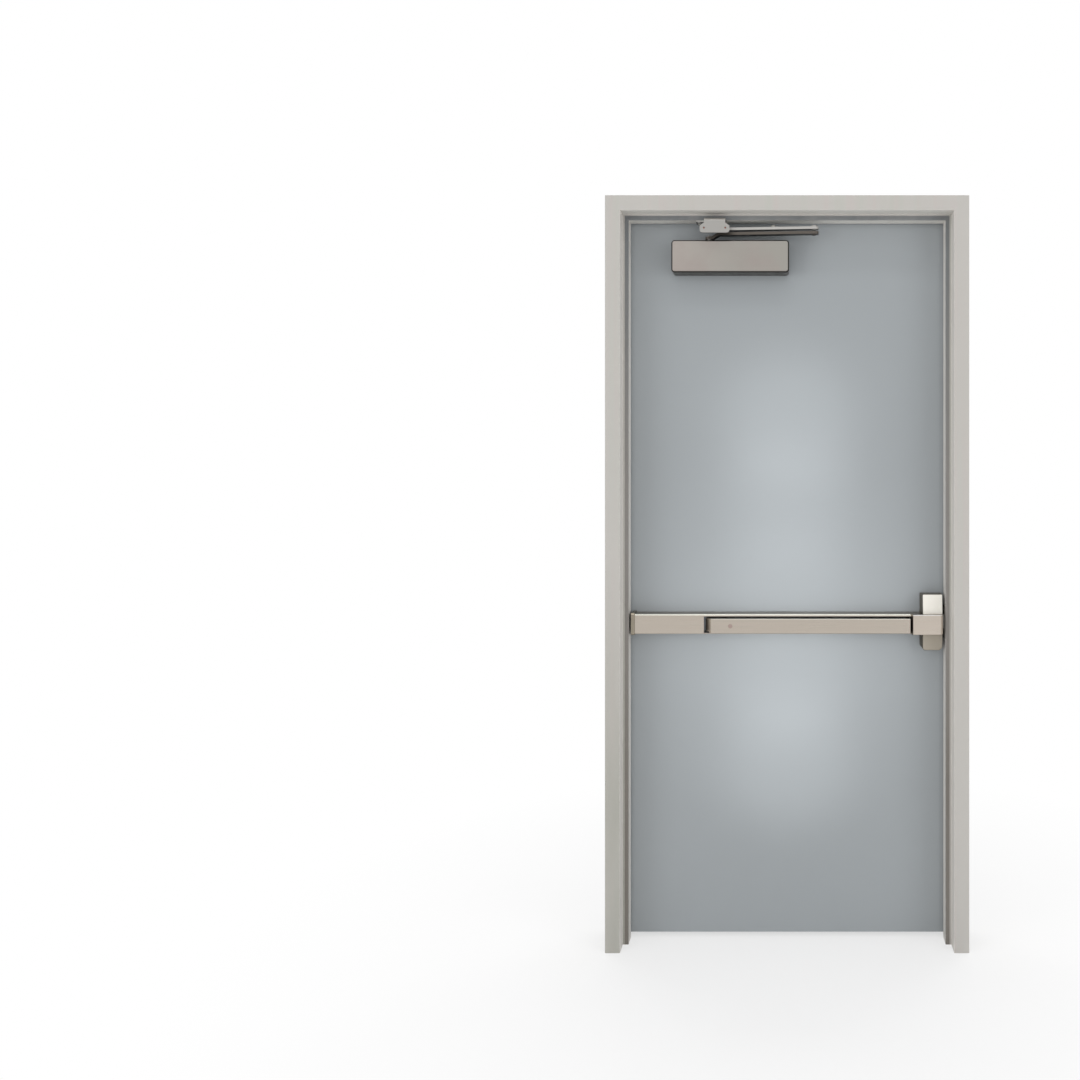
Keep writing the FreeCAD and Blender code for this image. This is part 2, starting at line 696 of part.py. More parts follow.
def span(start_x, start_y, end_x, end_y):
    rise, run = end_y - start_y, end_x - start_x
    length = (float(rise) ** 2 + float(run) ** 2) ** 0.5
    return Size(length, f"sqrt({rise.text} ^ 2 + {run.text} ^ 2)")


def round_ends(body, left, right):
    half = s.arm_width / 2
    ends = [(x, y) for x in (left, right) for y in (-half, half)]
    fillet(body, "round_ends", "Z", half - s.arm_end_flat / 2, ends)


def main_arm():
    """The arm on the pinion, with a joggle up from its hub."""
    body = new_body("main_arm")
    aim(body, pinion_x, pinion_y, hub_low, elbow_x, elbow_y)
    length = span(pinion_x, pinion_y, elbow_x, elbow_y)
    half, thick, rise, run = s.arm_width / 2, s.arm_thickness, s.arm_rise, s.joggle_run
    zero = Size(0, "0")
    near, far, end = s.joggle_start, s.joggle_start + run, length + s.elbow_end
    lean = thick * (span(zero, zero, run, rise) - run) / rise
    side_view = [
        (-half, zero), (near, zero), (far, rise), (end, rise), (end, rise + thick),
        (far - lean, rise + thick), (near - lean, thick), (-half, thick),
    ]
    pad(body, "bar", "Y", -half, half, side_view)
    round_ends(body, -half, end)
    pocket(body, "hub_hole", "Z", -MARGIN * thick, thick + MARGIN,
           ("circle", (zero, zero), s.pinion_radius + s.running_fit))
    pad(body, "rivet", "Z", rise - s.rivet_height, rise, ("circle", (length, zero), s.rivet_radius))


def forearm():
    """The arm on the bracket, with the elbow's pin, which stops short of the main arm."""
    body = new_body("forearm_bar")
    aim(body, bracket_x, bracket_y, forearm_low, elbow_x, elbow_y)
    length = span(bracket_x, bracket_y, elbow_x, elbow_y)
    half, thick = s.arm_width / 2, s.arm_thickness
    zero = Size(0, "0")
    end = length + s.elbow_end
    pad(body, "bar", "Z", zero, thick, rectangle(-half, -half, end, half))
    round_ends(body, -half, end)
    pocket(body, "pivot_hole", "Z", -thick, thick * 2,
           ("circle", (zero, zero), s.elbow_pin_radius + s.running_fit))
    pad(body, "elbow_pin", "Z", s.elbow_gap - s.arm_gap, zero,
        ("circle", (length, zero), s.elbow_pin_radius))
    pad(body, "elbow_head", "Z", thick, thick + s.elbow_head_height,
        ("circle", (length, zero), s.elbow_head_radius))


def closer_bracket():
    """Foot under the soffit, and a plate that hangs from its rolled front bend."""
    body = new_body("closer_bracket")
    gauge = s.bracket_gauge
    front = leaf_front - s.bracket_out
    foot_front = stop_front + s.bracket_foot_inset
    foot_back = foot_front + s.bracket_foot_depth
    neck_left, neck_right = bracket_x - s.bracket_neck_left, bracket_x + s.bracket_neck_right
    shoulder = soffit - s.bracket_shoulder
    pad(body, "neck", "X", neck_left, neck_right, [
        (front, shoulder), (front, soffit), (foot_back, soffit), (foot_back, soffit - gauge),
        (front + gauge, soffit - gauge), (front + gauge, shoulder),
    ])
    fillet(body, "outer_bend", "X", s.bracket_bend + gauge, [(front, soffit)])
    fillet(body, "inner_bend", "X", s.bracket_bend, [(front + gauge, soffit - gauge)])
    pad(body, "foot", "Z", soffit - gauge, soffit,
        rectangle(bracket_x - s.bracket_foot_left, foot_front, neck_right, foot_back))
    low, ear_high = soffit - s.bracket_drop, shoulder - s.bracket_ear_slope
    ear_left, ear_right = neck_left - s.bracket_ear, neck_right + s.bracket_ear
    pad(body, "plate", "Y", front, front + gauge, [
        (neck_left, shoulder), (ear_left, ear_high), (ear_left, low), (ear_right, low),
        (ear_right, ear_high), (neck_right, shoulder),
    ])
    fillet(body, "ears", "Y", s.bracket_ear_radius, [(ear_left, ear_high), (ear_right, ear_high)])
    fillet(body, "corners", "Y", s.bracket_corner_radius, [(ear_left, low), (ear_right, low)])
    pocket(body, "plate_holes", "Y", front - MARGIN, front + gauge + MARGIN,
           *[("circle", (x, low + s.bracket_hole_rise), s.bracket_hole_radius)
             for x in (neck_left, neck_right)])


def bracket_pivot():
    body = new_body("bracket_pivot")
    pad(body, "stud", "Z", forearm_low, soffit - s.bracket_gauge,
        ("circle", (bracket_x, bracket_y), s.elbow_pin_radius))


# Exit device

rail_front = leaf_front - s.rail_depth
rail_high = s.rail_low + s.rail_height
rail_left = leaf_left + s.rail_left
head_right = leaf_right - s.head_right_gap
head_left = head_right - s.head_width
band_left = head_left - s.band_reach
band_front = leaf_front - s.band_depth
pad_left = leaf_left + s.pad_left
pad_high = rail_high - s.pad_drop
pad_low = pad_high - s.pad_height
pad_middle = (pad_low + pad_high) / 2
pad_front = leaf_front - s.pad_depth
pad_tail = leaf_front - s.pad_leg_tail


def band_x(y, gap):
    """X of the band's sloped left end at a depth, moved left by a gap."""
    return band_left + (leaf_front - y) * s.band_slope / s.band_depth - gap


def slope_cut(body, gap):
    """Trim everything right of the plane that the band's left end lies in."""
    near, far = leaf_front + MARGIN, band_front - MARGIN
    pocket(body, "sloped_end", "Z", s.rail_low - MARGIN, rail_high + MARGIN, [
        (band_x(near, gap), near), (band_x(far, gap), far),
        (head_right + MARGIN, far), (head_right + MARGIN, near),
    ])


def exit_rail():
    body = new_body("exit_rail")
    wall = s.rail_wall
    section = rectangle(rail_front, s.rail_low, leaf_front, rail_high)
    pad(body, "block", "X", rail_left, head_left, section)
    fillet(body, "top_front_edge", "X", s.rail_radius, [(rail_front, rail_high)])
    pocket(body, "hollow", "X", rail_left - MARGIN, head_left + MARGIN,
           rectangle(rail_front + wall, s.rail_low + wall, leaf_front + MARGIN, rail_high - wall))
    pocket(body, "pad_window", "Y", rail_front - MARGIN, rail_front + wall + MARGIN,
           rectangle(pad_left - s.pad_gap, s.rail_low + wall, head_left + MARGIN,
                     pad_high + s.pad_gap))
    slope_cut(body, s.joint_gap)


def rail_end_cap():
    body = new_body("rail_end_cap")
    over = s.cap_overlap
    pad(body, "block", "X", rail_left - s.cap_length, rail_left,
        rectangle(rail_front - over, s.rail_low - over, leaf_front, rail_high + over))
    fillet(body, "front_edges", "X", s.rail_radius,
           [(rail_front - over, s.rail_low - over), (rail_front - over, rail_high + over)])


def guide_places():
    right = band_x(pad_front, s.pad_gap)
    return (pad_left + s.guide_inset, right - s.guide_inset)


def guide_squares(width):
    """A square of the width round each guide's axis."""
    half = width / 2
    return [rectangle(x - half, pad_middle - half, x + half, pad_middle + half)
            for x in guide_places()]


def pad_guides():
    """Two posts on a base strip in the rail, which the touch pad slides on."""
    body = new_body("pad_guides")
    places = guide_places()
    half = s.socket_width / 2
    pad(body, "base", "Y", leaf_front - s.rail_wall, leaf_front,
        rectangle(places[0] - s.guide_inset / 2, pad_middle - half,
                  places[1] + s.guide_inset / 2, pad_middle + half))
    pad(body, "posts", "Y", pad_tail - s.pad_travel - s.guide_hold, leaf_front - s.rail_wall,
        *guide_squares(s.guide_width))


def touch_pad():
    body = new_body("touch_pad")
    wall, leg = s.pad_wall, s.pad_leg_gauge
    inner = pad_front + wall
    low_leg = s.rail_low + s.rail_wall + s.pad_gap
    pad(body, "front", "Y", pad_front, inner, rectangle(pad_left, pad_low, head_left, pad_high))
    fillet(body, "long_edges", "X", s.pad_edge_radius,
           [(pad_front, pad_low), (pad_front, pad_high)])
    pad(body, "legs", "Y", inner, pad_tail,
        rectangle(pad_left, pad_high - leg, head_left, pad_high),
        rectangle(pad_left, low_leg, head_left, low_leg + leg))
    pad(body, "sockets", "Y", inner, pad_tail, *guide_squares(s.socket_width))
    pocket(body, "socket_holes", "Y", inner, pad_tail + MARGIN,
           *guide_squares(s.guide_width + s.guide_gap * 2))
    pocket(body, "dogging_hole", "Y", pad_front - MARGIN, inner + MARGIN,
           ("circle", (pad_left + s.dogging_left, pad_middle), s.dogging_radius))
    slope_cut(body, s.pad_gap)
    pocket(body, "left_bevel", "Z", s.rail_low, rail_high, [
        (pad_left - MARGIN, pad_front - MARGIN),
        (pad_left + s.pad_bevel + MARGIN, pad_front - MARGIN),
        (pad_left - MARGIN, pad_front + s.pad_bevel + MARGIN),
    ])


def head_case():
    """A box with chamfered lower corners, whose left side leans in to its front."""
    body = new_body("head_case")
    low, high, cut = s.head_low, s.head_low + s.head_height, s.head_chamfer
    pad(body, "block", "Y", rail_front, leaf_front, [
        (head_left, low + cut), (head_left + cut, low), (head_right - cut, low),
        (head_right, low + cut), (head_right, high), (head_left, high),
    ])
    pocket(body, "left_lean", "Z", low - MARGIN, high + MARGIN, [
        (head_left, leaf_front), (head_left + s.head_lean, rail_front),
        (head_left + s.head_lean, rail_front - MARGIN), (head_left - MARGIN, rail_front - MARGIN),
        (head_left - MARGIN, leaf_front),
    ])
    wall = s.head_wall
    left, corner = head_left + s.head_lean + wall, wall + cut
    pocket(body, "hollow", "Y", rail_front + wall, leaf_front + MARGIN, [
        (left, low + corner), (left + cut, low + wall), (head_right - corner, low + wall),
        (head_right - wall, low + corner), (head_right - wall, high - wall), (left, high - wall),
    ])
    half_y = s.latch_thickness / 2 + s.latch_gap
    half_z = s.latch_height / 2 + s.latch_gap
    pocket(body, "latch_hole", "X", head_right - wall - MARGIN, head_right + MARGIN,
           rectangle(latch_y - half_y, latch_z - half_z, latch_y + half_y, latch_z + half_z))


def head_band():
    body = new_body("head_band")
    split = head_left - s.joint_gap
    outline = [
        (band_left, leaf_front), (band_x(band_front, 0), band_front), (head_right, band_front),
        (head_right, rail_front), (split, rail_front), (split, leaf_front),
    ]
    pad(body, "band", "Z", s.rail_low, rail_high, outline)
    fillet(body, "right_edge", "Z", s.band_radius, [outline[2]])


def latch_bolt():
    body = new_body("latch_bolt")
    tip = head_right - s.latch_inset
    tail = tip - s.latch_throw - s.latch_hold
    half_y = s.latch_thickness / 2
    pad(body, "bolt", "Z", latch_z - s.latch_height / 2, latch_z + s.latch_height / 2, [
        (tail, latch_y - half_y), (tip - s.latch_bevel, latch_y - half_y),
        (tip, latch_y + half_y - s.latch_gap), (tip, latch_y + half_y), (tail, latch_y + half_y),
    ])


def build():
    hinge_jamb()
    hinge_reinforcements()
    strike_jamb()
    frame_head()
    floor_anchor("hinge_jamb_anchor", Size(0, "0"))
    floor_anchor("strike_jamb_anchor", frame_right - s.face_width / 2)
    strike_plate()
    silencers()
    hinges()
    skin("push_skin", leaf_front, 1)
    skin("pull_skin", leaf_back, -1)
    leaf_core()
    end_channel("top_channel", False, leaf_high - s.channel_height)
    end_channel("bottom_channel", False, leaf_low)
    closer_cover()
    closer_body()
    closer_pinion()
    main_arm()
    forearm()
    closer_bracket()
    bracket_pivot()
    exit_rail()
    rail_end_cap()
    pad_guides()
    touch_pad()
    head_case()
    head_band()
    latch_bolt()


def check_and_export():
    doc.recompute()
    for thing in doc.Objects:
        if "Invalid" in thing.State or "Error" in thing.State:
            raise RuntimeError(f"{thing.Label} failed: {thing.State}")
    for node in nodes:
        if node.Shape.isNull() or not node.Shape.isValid():
            raise RuntimeError(f"{node.Label} has no valid shape")
    os.makedirs("parts", exist_ok=True)
    for node in nodes:
        node.Shape.exportStep(os.path.join("parts", node.Label + ".step"))


build()
check_and_export()
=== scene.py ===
import json
import math

import bmesh
import bpy
from mathutils import Matrix, Vector

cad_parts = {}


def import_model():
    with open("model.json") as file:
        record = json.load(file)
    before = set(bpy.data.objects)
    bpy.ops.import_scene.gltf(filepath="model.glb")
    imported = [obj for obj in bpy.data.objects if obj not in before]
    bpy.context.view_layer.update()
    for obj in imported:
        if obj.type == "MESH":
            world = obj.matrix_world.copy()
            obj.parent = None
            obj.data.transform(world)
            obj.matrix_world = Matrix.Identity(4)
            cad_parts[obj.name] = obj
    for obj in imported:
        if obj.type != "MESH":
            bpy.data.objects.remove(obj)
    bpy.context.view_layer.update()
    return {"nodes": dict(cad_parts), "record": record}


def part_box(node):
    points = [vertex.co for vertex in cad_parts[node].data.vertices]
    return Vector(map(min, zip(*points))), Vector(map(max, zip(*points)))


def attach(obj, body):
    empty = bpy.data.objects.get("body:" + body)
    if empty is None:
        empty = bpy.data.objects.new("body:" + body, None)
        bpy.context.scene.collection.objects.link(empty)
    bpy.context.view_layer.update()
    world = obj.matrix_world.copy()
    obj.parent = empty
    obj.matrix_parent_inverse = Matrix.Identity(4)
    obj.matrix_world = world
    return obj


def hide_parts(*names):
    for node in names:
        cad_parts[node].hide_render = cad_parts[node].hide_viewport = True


# Steel utility door with a closer and an exit device: finishes, softened edges, fasteners, floor,
# light and camera. Metres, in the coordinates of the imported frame.

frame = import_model()
nodes = frame["nodes"]
SLOT_OF = {part["node"]: part["material_slot"] for part in frame["record"]["subparts"]}
BODY_OF = {node: body for body, names in frame["record"]["behaviour"]["bodies"].items()
           for node in names}

# Places that several sections share

head_low, head_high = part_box("frame_head")
strike_low, strike_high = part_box("strike_plate")
cover_low, cover_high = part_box("closer_cover")
MIDDLE_X = (head_low.x + head_high.x) / 2
FRAME_FRONT_Y = head_low.y
STOP_FRONT_Y = -0.023
STOP_RISE = 0.0159
STOP_FACE_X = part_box("strike_jamb")[0].x
OPENING_HALF = STOP_FACE_X + STOP_RISE - MIDDLE_X
OPENING_TOP_Z = head_low.z + STOP_RISE

# Colours and materials


def srgb(red, green, blue):
    """Linear colour of a value read from 0 to 255."""
    def linear(value):
        value /= 255
        return value / 12.92 if value <= 0.04045 else ((value + 0.055) / 1.055) ** 2.4
    return (linear(red), linear(green), linear(blue), 1.0)


def scaled(colour, factor):
    return (colour[0] * factor, colour[1] * factor, colour[2] * factor, 1.0)


class Finish:
    """A procedural material, built node by node in the object's own coordinates."""

    def __init__(self, name, metallic=0.0, coat=0.0):
        self.material = bpy.data.materials.new(name)
        self.material.use_nodes = True
        self.tree = self.material.node_tree
        self.shader = self.tree.nodes["Principled BSDF"]
        self.shader.inputs["Metallic"].default_value = metallic
        self.shader.inputs["Coat Weight"].default_value = coat
        self.shader.inputs["Coat Roughness"].default_value = 0.25
        places = self.tree.nodes.new("ShaderNodeTexCoord").outputs
        self.coords = places["Object"]
        self.normals = places["Normal"]
        self.bumped = None

    def feed(self, value, socket):
        """Links an output to a socket, or sets the socket to a plain value."""
        if isinstance(value, bpy.types.NodeSocket):
            self.tree.links.new(value, socket)
        else:
            socket.default_value = value

    def stretched(self, scale):
        node = self.tree.nodes.new("ShaderNodeMapping")
        self.feed(scale, node.inputs["Scale"])
        self.feed(self.coords, node.inputs["Vector"])
        return node.outputs["Vector"]

    def noise(self, scale, detail=2.0, stretch=None):
        node = self.tree.nodes.new("ShaderNodeTexNoise")
        self.feed(scale, node.inputs["Scale"])
        self.feed(detail, node.inputs["Detail"])
        self.feed(self.stretched(stretch) if stretch else self.coords, node.inputs["Vector"])
        return node.outputs["Fac"]

    def cells(self, scale):
        node = self.tree.nodes.new("ShaderNodeTexVoronoi")
        self.feed(scale, node.inputs["Scale"])
        self.feed(self.coords, node.inputs["Vector"])
        return node.outputs["Color"]

    def fitted(self, source, low, high, from_low=0.3, from_high=0.7):
        """The source's range from from_low to from_high, spread from low to high."""
        node = self.tree.nodes.new("ShaderNodeMapRange")
        self.feed(source, node.inputs["Value"])
        self.feed(from_low, node.inputs["From Min"])
        self.feed(from_high, node.inputs["From Max"])
        self.feed(low, node.inputs["To Min"])
        self.feed(high, node.inputs["To Max"])
        return node.outputs["Result"]

    def blend(self, factor, first, second):
        """A colour between two, each a colour or an output."""
        node = self.tree.nodes.new("ShaderNodeMix")
        node.data_type = "RGBA"
        sockets = {(socket.name, socket.type): socket for socket in node.inputs}
        self.feed(factor, sockets["Factor", "VALUE"])
        self.feed(first, sockets["A", "RGBA"])
        self.feed(second, sockets["B", "RGBA"])
        return next(socket for socket in node.outputs if socket.type == "RGBA")

    def joined(self, operation, *values):
        node = self.tree.nodes.new("ShaderNodeMath")
        node.operation = operation
        for value, socket in zip(values, node.inputs):
            self.feed(value, socket)
        return node.outputs[0]

    def product(self, first, second):
        return self.joined("MULTIPLY", first, second)

    def larger(self, first, second):
        return self.joined("MAXIMUM", first, second)

    def component(self, vector, axis):
        node = self.tree.nodes.new("ShaderNodeSeparateXYZ")
        self.feed(vector, node.inputs["Vector"])
        return node.outputs[axis]

    def height(self, axis, low, high):
        """0 to 1 between two places along an axis of the object."""
        return self.fitted(self.component(self.coords, axis), 0.0, 1.0, low, high)

    def slant(self, axis, low, high):
        """0 to 1 as the surface's normal goes from low to high along an axis of the object."""
        return self.fitted(self.component(self.normals, axis), 0.0, 1.0, low, high)

    def nearness(self, axis, place, inner, outer):
        """1 within the inner distance of a place along an axis, 0 beyond the outer one."""
        offset = self.joined("SUBTRACT", self.component(self.coords, axis), place)
        return self.fitted(self.joined("ABSOLUTE", offset), 1.0, 0.0, inner, outer)

    def colour(self, source):
        self.feed(source, self.shader.inputs["Base Color"])

    def roughness(self, source):
        self.feed(source, self.shader.inputs["Roughness"])

    def bump(self, source, distance):
        """Adds a bump to those made before."""
        node = self.tree.nodes.new("ShaderNodeBump")
        node.inputs["Strength"].default_value = 1.0
        node.inputs["Distance"].default_value = distance
        self.feed(source, node.inputs["Height"])
        if self.bumped:
            self.feed(self.bumped, node.inputs["Normal"])
        self.bumped = node.outputs["Normal"]
        self.feed(self.bumped, self.shader.inputs["Normal"])


def enamel(name, colour, spread, rough, grime):
    """Sprayed enamel on sheet steel: orange peel, faint waves of the sheet and grime low down.
    Gives the finish and its tone."""
    grime_top = 0.45
    finish = Finish(name, coat=0.15)
    cloud = finish.fitted(finish.noise(2.2, 3.0), 0.0, 1.0)
    fleck = finish.fitted(finish.noise(160.0, 4.0), 0.0, 1.0, 0.2, 0.8)
    base = finish.blend(cloud, scaled(colour, 1 - spread), scaled(colour, 1 + spread))
    flecked = finish.blend(fleck, base, scaled(colour, 1 - 0.5 * spread))
    patches = finish.fitted(finish.noise(9.0, 4.0, (1, 1, 0.35)), 0.0, grime, 0.45, 0.75)
    low_down = finish.product(patches, finish.height("Z", grime_top, 0.0))
    tone = finish.blend(low_down, flecked, scaled(colour, 0.55))
    finish.colour(tone)
    finish.roughness(finish.fitted(finish.noise(30.0, 3.0), rough - 0.05, rough + 0.05))
    finish.bump(finish.noise(1.6, 1.0), 0.0012)
    finish.bump(finish.noise(700.0, 2.0), 0.00004)
    return finish, tone


def streaked(finish, tone):
    """Faint rose and greenish streaks that run down the frame."""
    rose, green = srgb(189, 173, 171), srgb(172, 180, 168)
    for streak, stretch in ((rose, (45, 45, 0.9)), (green, (31, 31, 0.7))):
        share = finish.fitted(finish.noise(1.0, 3.0, stretch), 0.0, 0.3, 0.5, 0.72)
        tone = finish.blend(share, tone, streak)
    return tone


def darker_hinge_foot(finish, tone):
    """Darker, patchy paint on the lower half of the hinge jamb."""
    whole_z, none_z = 0.5, 1.1
    inner_x, outer_x = 0.06, 0.08
    foot = finish.product(finish.height("Z", none_z, whole_z), finish.height("X", outer_x, inner_x))
    patches = finish.fitted(finish.noise(8.0, 4.0, (3, 3, 0.5)), 0.6, 1.0)
    return finish.blend(finish.product(foot, patches), tone, srgb(163, 162, 154))


def painted_reveal_light(finish, tone, colour):
    """Painted light: a paler tone on the faces that look down and on those that look sideways into
    the opening.
    """
    margin, fade = 0.0013, 0.0005
    reach = OPENING_HALF + margin
    inside = finish.nearness("X", MIDDLE_X, reach, reach + fade)
    sideways = finish.larger(finish.slant("X", 0.5, 0.8), finish.slant("X", -0.5, -0.8))
    # Painted light on the faces that look down and into the opening
    inward = finish.larger(finish.slant("Z", -0.5, -0.8), finish.product(inside, sideways))
    return finish.blend(inward, tone, scaled(colour, 1.5))


def shaded_stop_front(finish, tone):
    """Painted shade on the stop's front, streaked, leaving a margin along the rabbet without it."""
    side_margin, top_margin = 0.006, 0.0048
    side_fade, top_fade = 0.0016, 0.0018
    reach, top = OPENING_HALF - side_margin, OPENING_TOP_Z - top_margin
    # Painted shade: bluish grey high up, browner lower down
    top_shade, middle_shade, low_shade = srgb(103, 107, 110), srgb(129, 125, 122), srgb(119, 113, 107)
    streaks = finish.fitted(finish.noise(1.0, 3.0, (14, 14, 1.2)), 0.75, 1.0)
    front = finish.product(finish.nearness("Y", STOP_FRONT_Y, 0.002, 0.004), streaks)
    inner = finish.product(finish.nearness("X", MIDDLE_X, reach, reach + side_fade),
                           finish.height("Z", top + top_fade, top))
    upper = finish.blend(finish.height("Z", 1.3, 1.95), middle_shade, top_shade)
    stop_shade = finish.blend(finish.height("Z", 1.1, 0.5), upper, low_shade)
    return finish.blend(finish.product(front, inner), tone, stop_shade)


def painted_strike_shade(finish, tone):
    """Painted shade inside the jamb, behind the hole for the latch."""
    sheet, fade = 0.00075, 0.0004
    middle_z = (strike_low.z + strike_high.z) / 2
    height_half = (strike_high.z - strike_low.z) / 2 + 0.005
    depth_half = 0.022
    behind = finish.product(
        finish.height("X", STOP_FACE_X + sheet, STOP_FACE_X + sheet + fade),
        finish.nearness("Z", middle_z, height_half, height_half + 0.004))
    within = finish.nearness("Y", 0.0, depth_half, depth_half + fade)
    # Painted shade behind the hole
    return finish.blend(finish.product(within, behind), tone, srgb(70, 68, 66))


def frame_paint():
    colour = srgb(184, 181, 176)
    finish, tone = enamel("frame_paint", colour, 0.025, 0.45, 0.14)
    tone = darker_hinge_foot(finish, streaked(finish, tone))
    # Painted light on faces that look down and into the opening; painted shade on the stop's front
    # and behind the strike
    tone = shaded_stop_front(finish, painted_reveal_light(finish, tone, colour))
    finish.colour(painted_strike_shade(finish, tone))
    return finish.material


def leaf_paint():
    finish, _ = enamel("leaf_paint", srgb(152, 157, 160), 0.012, 0.42, 0.06)
    return finish.material


def stretch_along(axis, slow, fast):
    """Scales of a noise that runs slowly along one axis."""
    return tuple(slow if name == axis else fast for name in "XYZ")


def brushed(name, colour, spread, rough, along, metallic=1.0, aside=None, seam=None):
    """Metal with fine brush lines along one axis. Where aside is given, painted shade makes it duller
    by that factor on faces turned from the front, and a painted highlight runs along the upper front
    edge.
    Where seam is given, a dark line runs along the top at that place in Y."""
    finish = Finish(name, metallic)
    lines = finish.noise(1.0, 3.0, stretch_along(along, 6.0, 900.0))
    broad = finish.noise(1.0, 2.0, stretch_along(along, 1.5, 60.0))
    cloud = finish.fitted(finish.noise(6.0, 2.0), 0.0, 1.0)
    base = finish.blend(cloud, scaled(colour, 1 - 0.4 * spread), scaled(colour, 1 + 0.4 * spread))
    lined = finish.blend(finish.fitted(lines, 0.0, 0.8), base, scaled(colour, 1 - spread))
    tone = finish.blend(finish.fitted(broad, 0.0, 0.35), lined, scaled(colour, 1 + spread))
    if aside is not None:
        # Painted highlight along the upper front edge, and painted shade on faces turned from the
        # front
        highlight_limit = 0.93
        painted_edge = finish.product(finish.slant("Y", -0.97, -0.9), finish.slant("Z", 0.15, 0.4))
        highlight_tone = tuple(min(channel, highlight_limit) for channel in scaled(colour, 1.8))
        tone = finish.blend(painted_edge, tone, highlight_tone)
        tone = finish.blend(finish.slant("Y", -0.55, -0.2), tone, scaled(colour, aside))
    if seam is not None:
        near = finish.product(finish.nearness("Y", seam, 0.0006, 0.0011),
                              finish.slant("Z", 0.5, 0.8))
        tone = finish.blend(near, tone, scaled(colour, 0.1))
    finish.colour(tone)
    finish.roughness(finish.fitted(lines, rough - 0.06, rough + 0.08))
    finish.bump(lines, 0.00003)
    return finish.material


def sprayed(name, colour, spread, rough, metallic, under_shade=1.0):
    """Satin metallic lacquer with a fine grain, with painted shade on the faces that look down."""
    finish = Finish(name, metallic)
    grain = finish.noise(2500.0, 2.0)
    cloud = finish.fitted(finish.noise(7.0, 3.0), 0.0, 1.0)
    base = finish.blend(cloud, scaled(colour, 1 - spread), scaled(colour, 1 + spread))
    tone = finish.blend(finish.fitted(grain, 0.0, 0.5), base, scaled(colour, 1.12))
    # Painted shade on the faces that look down
    finish.colour(finish.blend(finish.slant("Z", -0.3, -0.8), tone, scaled(colour, under_shade)))
    finish.roughness(finish.fitted(finish.noise(40.0, 3.0), rough - 0.05, rough + 0.05))
    finish.bump(grain, 0.00002)
    finish.bump(finish.noise(300.0, 2.0), 0.00003)
    return finish.material


def cover_lacquer(name, colour, right_colour):
    """Lacquer of the closer's cover: painted light makes it paler to the left, with a rosy cloud, and
    painted shade darkens the rounded edges.
    """
    finish = Finish(name, 0.85)
    grain = finish.noise(2500.0, 2.0)
    # Painted light: paler to the left
    turn_x = cover_low.x + 0.6 * (cover_high.x - cover_low.x)
    lit = finish.blend(finish.height("X", cover_low.x, turn_x), scaled(colour, 1.22), right_colour)
    cloud = finish.fitted(finish.noise(9.0, 3.0), 0.0, 0.6, 0.45, 0.65)
    rosy = (colour[0] * 1.02, colour[1] * 0.93, colour[2] * 0.95, 1.0)
    clouded = finish.blend(cloud, lit, rosy)
    grained = finish.blend(finish.fitted(grain, 0.0, 0.5), clouded, scaled(colour, 1.12))
    # Painted shade on the rounded edges
    painted_edge = finish.blend(finish.slant("Y", -0.35, -0.1), scaled(colour, 0.1), scaled(colour, 0.3))
    finish.colour(finish.blend(finish.slant("Y", -0.995, -0.9), grained, painted_edge))
    finish.roughness(finish.fitted(finish.noise(40.0, 3.0), 0.31, 0.41))
    finish.bump(grain, 0.00002)
    finish.bump(finish.noise(300.0, 2.0), 0.00003)
    return finish.material


def block_casting(name):
    """Block behind the head's band: painted reflections give a pale front above and a browner one
    below, and painted shade darkens the sides.
    """
    low_z, high_z = 0.87, 0.91
    finish = Finish(name, 0.3)
    grain = finish.noise(1800.0, 3.0)
    cloud = finish.fitted(finish.noise(25.0, 3.0), 0.0, 0.5)
    # Painted reflections on the front, pale above and browner below; painted shade on the sides
    level = finish.height("Z", low_z, high_z)
    front = finish.blend(level, srgb(160, 152, 139), srgb(243, 240, 231))
    mottle = finish.blend(level, srgb(150, 142, 128), srgb(235, 231, 221))
    side = finish.blend(level, srgb(78, 72, 58), srgb(98, 94, 84))
    mottled = finish.blend(cloud, front, mottle)
    finish.colour(finish.blend(finish.slant("Y", -0.9, -0.55), mottled, side))
    finish.roughness(finish.fitted(grain, 0.36, 0.48))
    finish.bump(grain, 0.00003)
    return finish.material


def galvanised(name, colour):
    finish = Finish(name, 0.8)
    grey = finish.cells(120.0)
    stain = finish.fitted(finish.noise(14.0, 4.0), 0.0, 0.5, 0.45, 0.8)
    spangle = finish.blend(finish.fitted(grey, 0.0, 1.0, 0.0, 1.0), scaled(colour, 0.8),
                           scaled(colour, 1.15))
    finish.colour(finish.blend(stain, spangle, scaled(colour, 0.6)))
    finish.roughness(finish.fitted(grey, 0.35, 0.55, 0.0, 1.0))
    finish.bump(finish.noise(200.0, 3.0), 0.00005)
    return finish.material


def dull(name, colour):
    """Rubber or rust: matt, with a fine uneven surface."""
    finish = Finish(name)
    cloud = finish.fitted(finish.noise(90.0, 3.0), 0.0, 1.0)
    finish.colour(finish.blend(cloud, scaled(colour, 0.85), scaled(colour, 1.15)))
    finish.roughness(finish.fitted(finish.noise(400.0), 0.7, 0.85))
    finish.bump(finish.noise(900.0, 3.0), 0.0001)
    return finish.material


def kraft(name, colour):
    """Paper of the leaf's core."""
    finish = Finish(name)
    fibres = finish.noise(1.0, 4.0, (60, 60, 700))
    tone = finish.fitted(fibres, 0.0, 1.0)
    finish.colour(finish.blend(tone, scaled(colour, 0.8), scaled(colour, 1.1)))
    finish.roughness(finish.fitted(fibres, 0.75, 0.9))
    finish.bump(fibres, 0.0002)
    return finish.material


